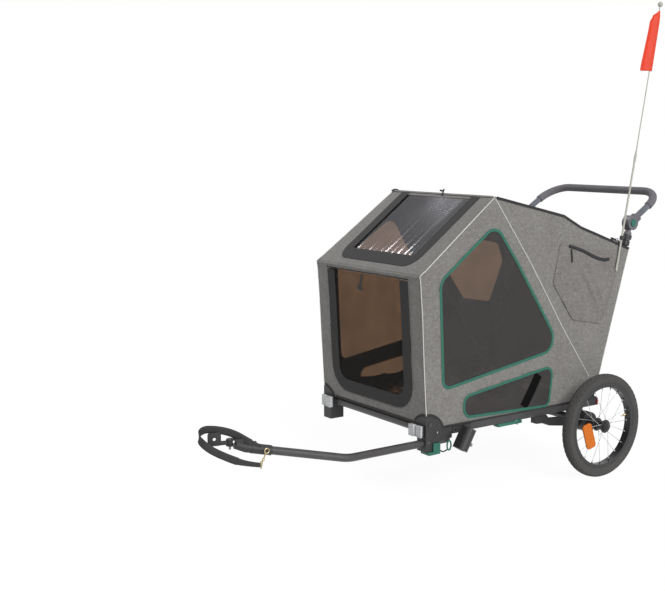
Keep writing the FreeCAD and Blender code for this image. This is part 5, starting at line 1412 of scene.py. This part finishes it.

# %% [markdown]
# ## Cloth pieces and their cut sizes
#
# Each panel gets a mesh of its own. A table lists how large each sheet was cut, as width and height
# from the drawing.

# %% Cloth pieces and their cut sizes
SHEETS = {
    "canvas_wall_left": (1.07, 0.82), "canvas_wall_right": (1.07, 0.82), "canvas_front": (0.63, 0.54),
    "canvas_roof": (0.63, 0.45), "canvas_rear_roof": (0.63, 0.76), "canvas_rear": (0.63, 0.63),
    "mesh_windows_left": (0.6, 0.72), "mesh_windows_right": (0.92, 0.72), "mesh_door": (0.5, 0.48),
    "film_roof_window": (0.44, 0.38), "canvas_pocket": (0.35, 0.34), "nylon_pennant": (0.1, 0.25),
}
for name, flat in SHEETS.items():
    if name not in ("nylon_pennant", "canvas_pocket"):
        folds_flat(made_pieces[name])
print(len(SHEETS) + 1, "sheets")

# %% [markdown]
# ## Studio
#
# The trailer stands alone on white. A wide pale floor catches a faint shadow, and the world is
# white wherever the eye looks at it, directly, in a gloss or through the film. A wide soft sun
# stands half high on the trailer's left, so the side is bright and the front lies in half shade. It
# has no falloff, which keeps the floor evenly white. A narrow strip behind the roof draws the bright
# streaks on the film.

# %% Studio
FILL = 0.26
WHITE = (1, 1, 1, 1)
FLOOR_SHARE = 0.9
FLOOR_STRENGTH = 1.05
FLOOR_HALF = 30.0
CABIN_MIDDLE = at(300, 0, 600)
LAMP_DISTANCE = 5.0


def looked_at(tree):
    """1 for the rays that the eye follows, 0 for those that only carry light."""
    path = add(tree, "ShaderNodeLightPath").outputs
    seen = path["Is Camera Ray"]
    for ray in ("Is Glossy Ray", "Is Transmission Ray"):
        seen = add(tree, "ShaderNodeMath", {0: seen, 1: path[ray]}, operation="MAXIMUM").outputs[0]
    return seen


def lamp(name, kind, way, energy, **settings):
    """A lamp that shines on the cabin's middle from this direction."""
    light = bpy.data.objects.new(name, bpy.data.lights.new(name, kind))
    light.data.energy = energy
    for key, value in settings.items():
        setattr(light.data, key, value)
    light.location = CABIN_MIDDLE + Vector(way).normalized() * LAMP_DISTANCE
    light.rotation_euler = Vector(way).to_track_quat("Z", "Y").to_euler()
    scene.collection.objects.link(light)


world = bpy.data.worlds.new("studio")
scene.world = world
world.use_nodes = True
tree = world.node_tree
sky = tree.nodes["Background"]
sky.inputs["Color"].default_value = WHITE
tree.links.new(between(tree, looked_at(tree), FILL, 1.0), sky.inputs["Strength"])

floor_paint = bpy.data.materials.new("pale_floor")
floor_paint.use_nodes = True
tree = floor_paint.node_tree
paper = tree.nodes["Principled BSDF"]
paper.inputs["Base Color"].default_value = linear("f6f6f6")
paper.inputs["Roughness"].default_value = 0.9
share = between(tree, looked_at(tree), 0.0, FLOOR_SHARE)
white = add(tree, "ShaderNodeEmission", sockets={"Color": WHITE, "Strength": FLOOR_STRENGTH})
mix = add(tree, "ShaderNodeMixShader", {"Fac": share, 1: paper.outputs[0], 2: white.outputs[0]})
show(tree, mix.outputs[0])
ground = bmesh.new()
bmesh.ops.create_grid(ground, x_segments=1, y_segments=1, size=FLOOR_HALF)
floor_mesh = bpy.data.meshes.new("floor")
ground.to_mesh(floor_mesh)
ground.free()
floor_mesh.materials.append(floor_paint)
floor = bpy.data.objects.new("floor", floor_mesh)
scene.collection.objects.link(floor)
lamp("key", "SUN", (0.12, 0.84, 0.54), 2.35, angle=math.radians(35))
lamp("strip", "AREA", (0.1, -0.64, 0.76), 55, shape="RECTANGLE", size=1.6, size_y=0.35)
print("studio lit")
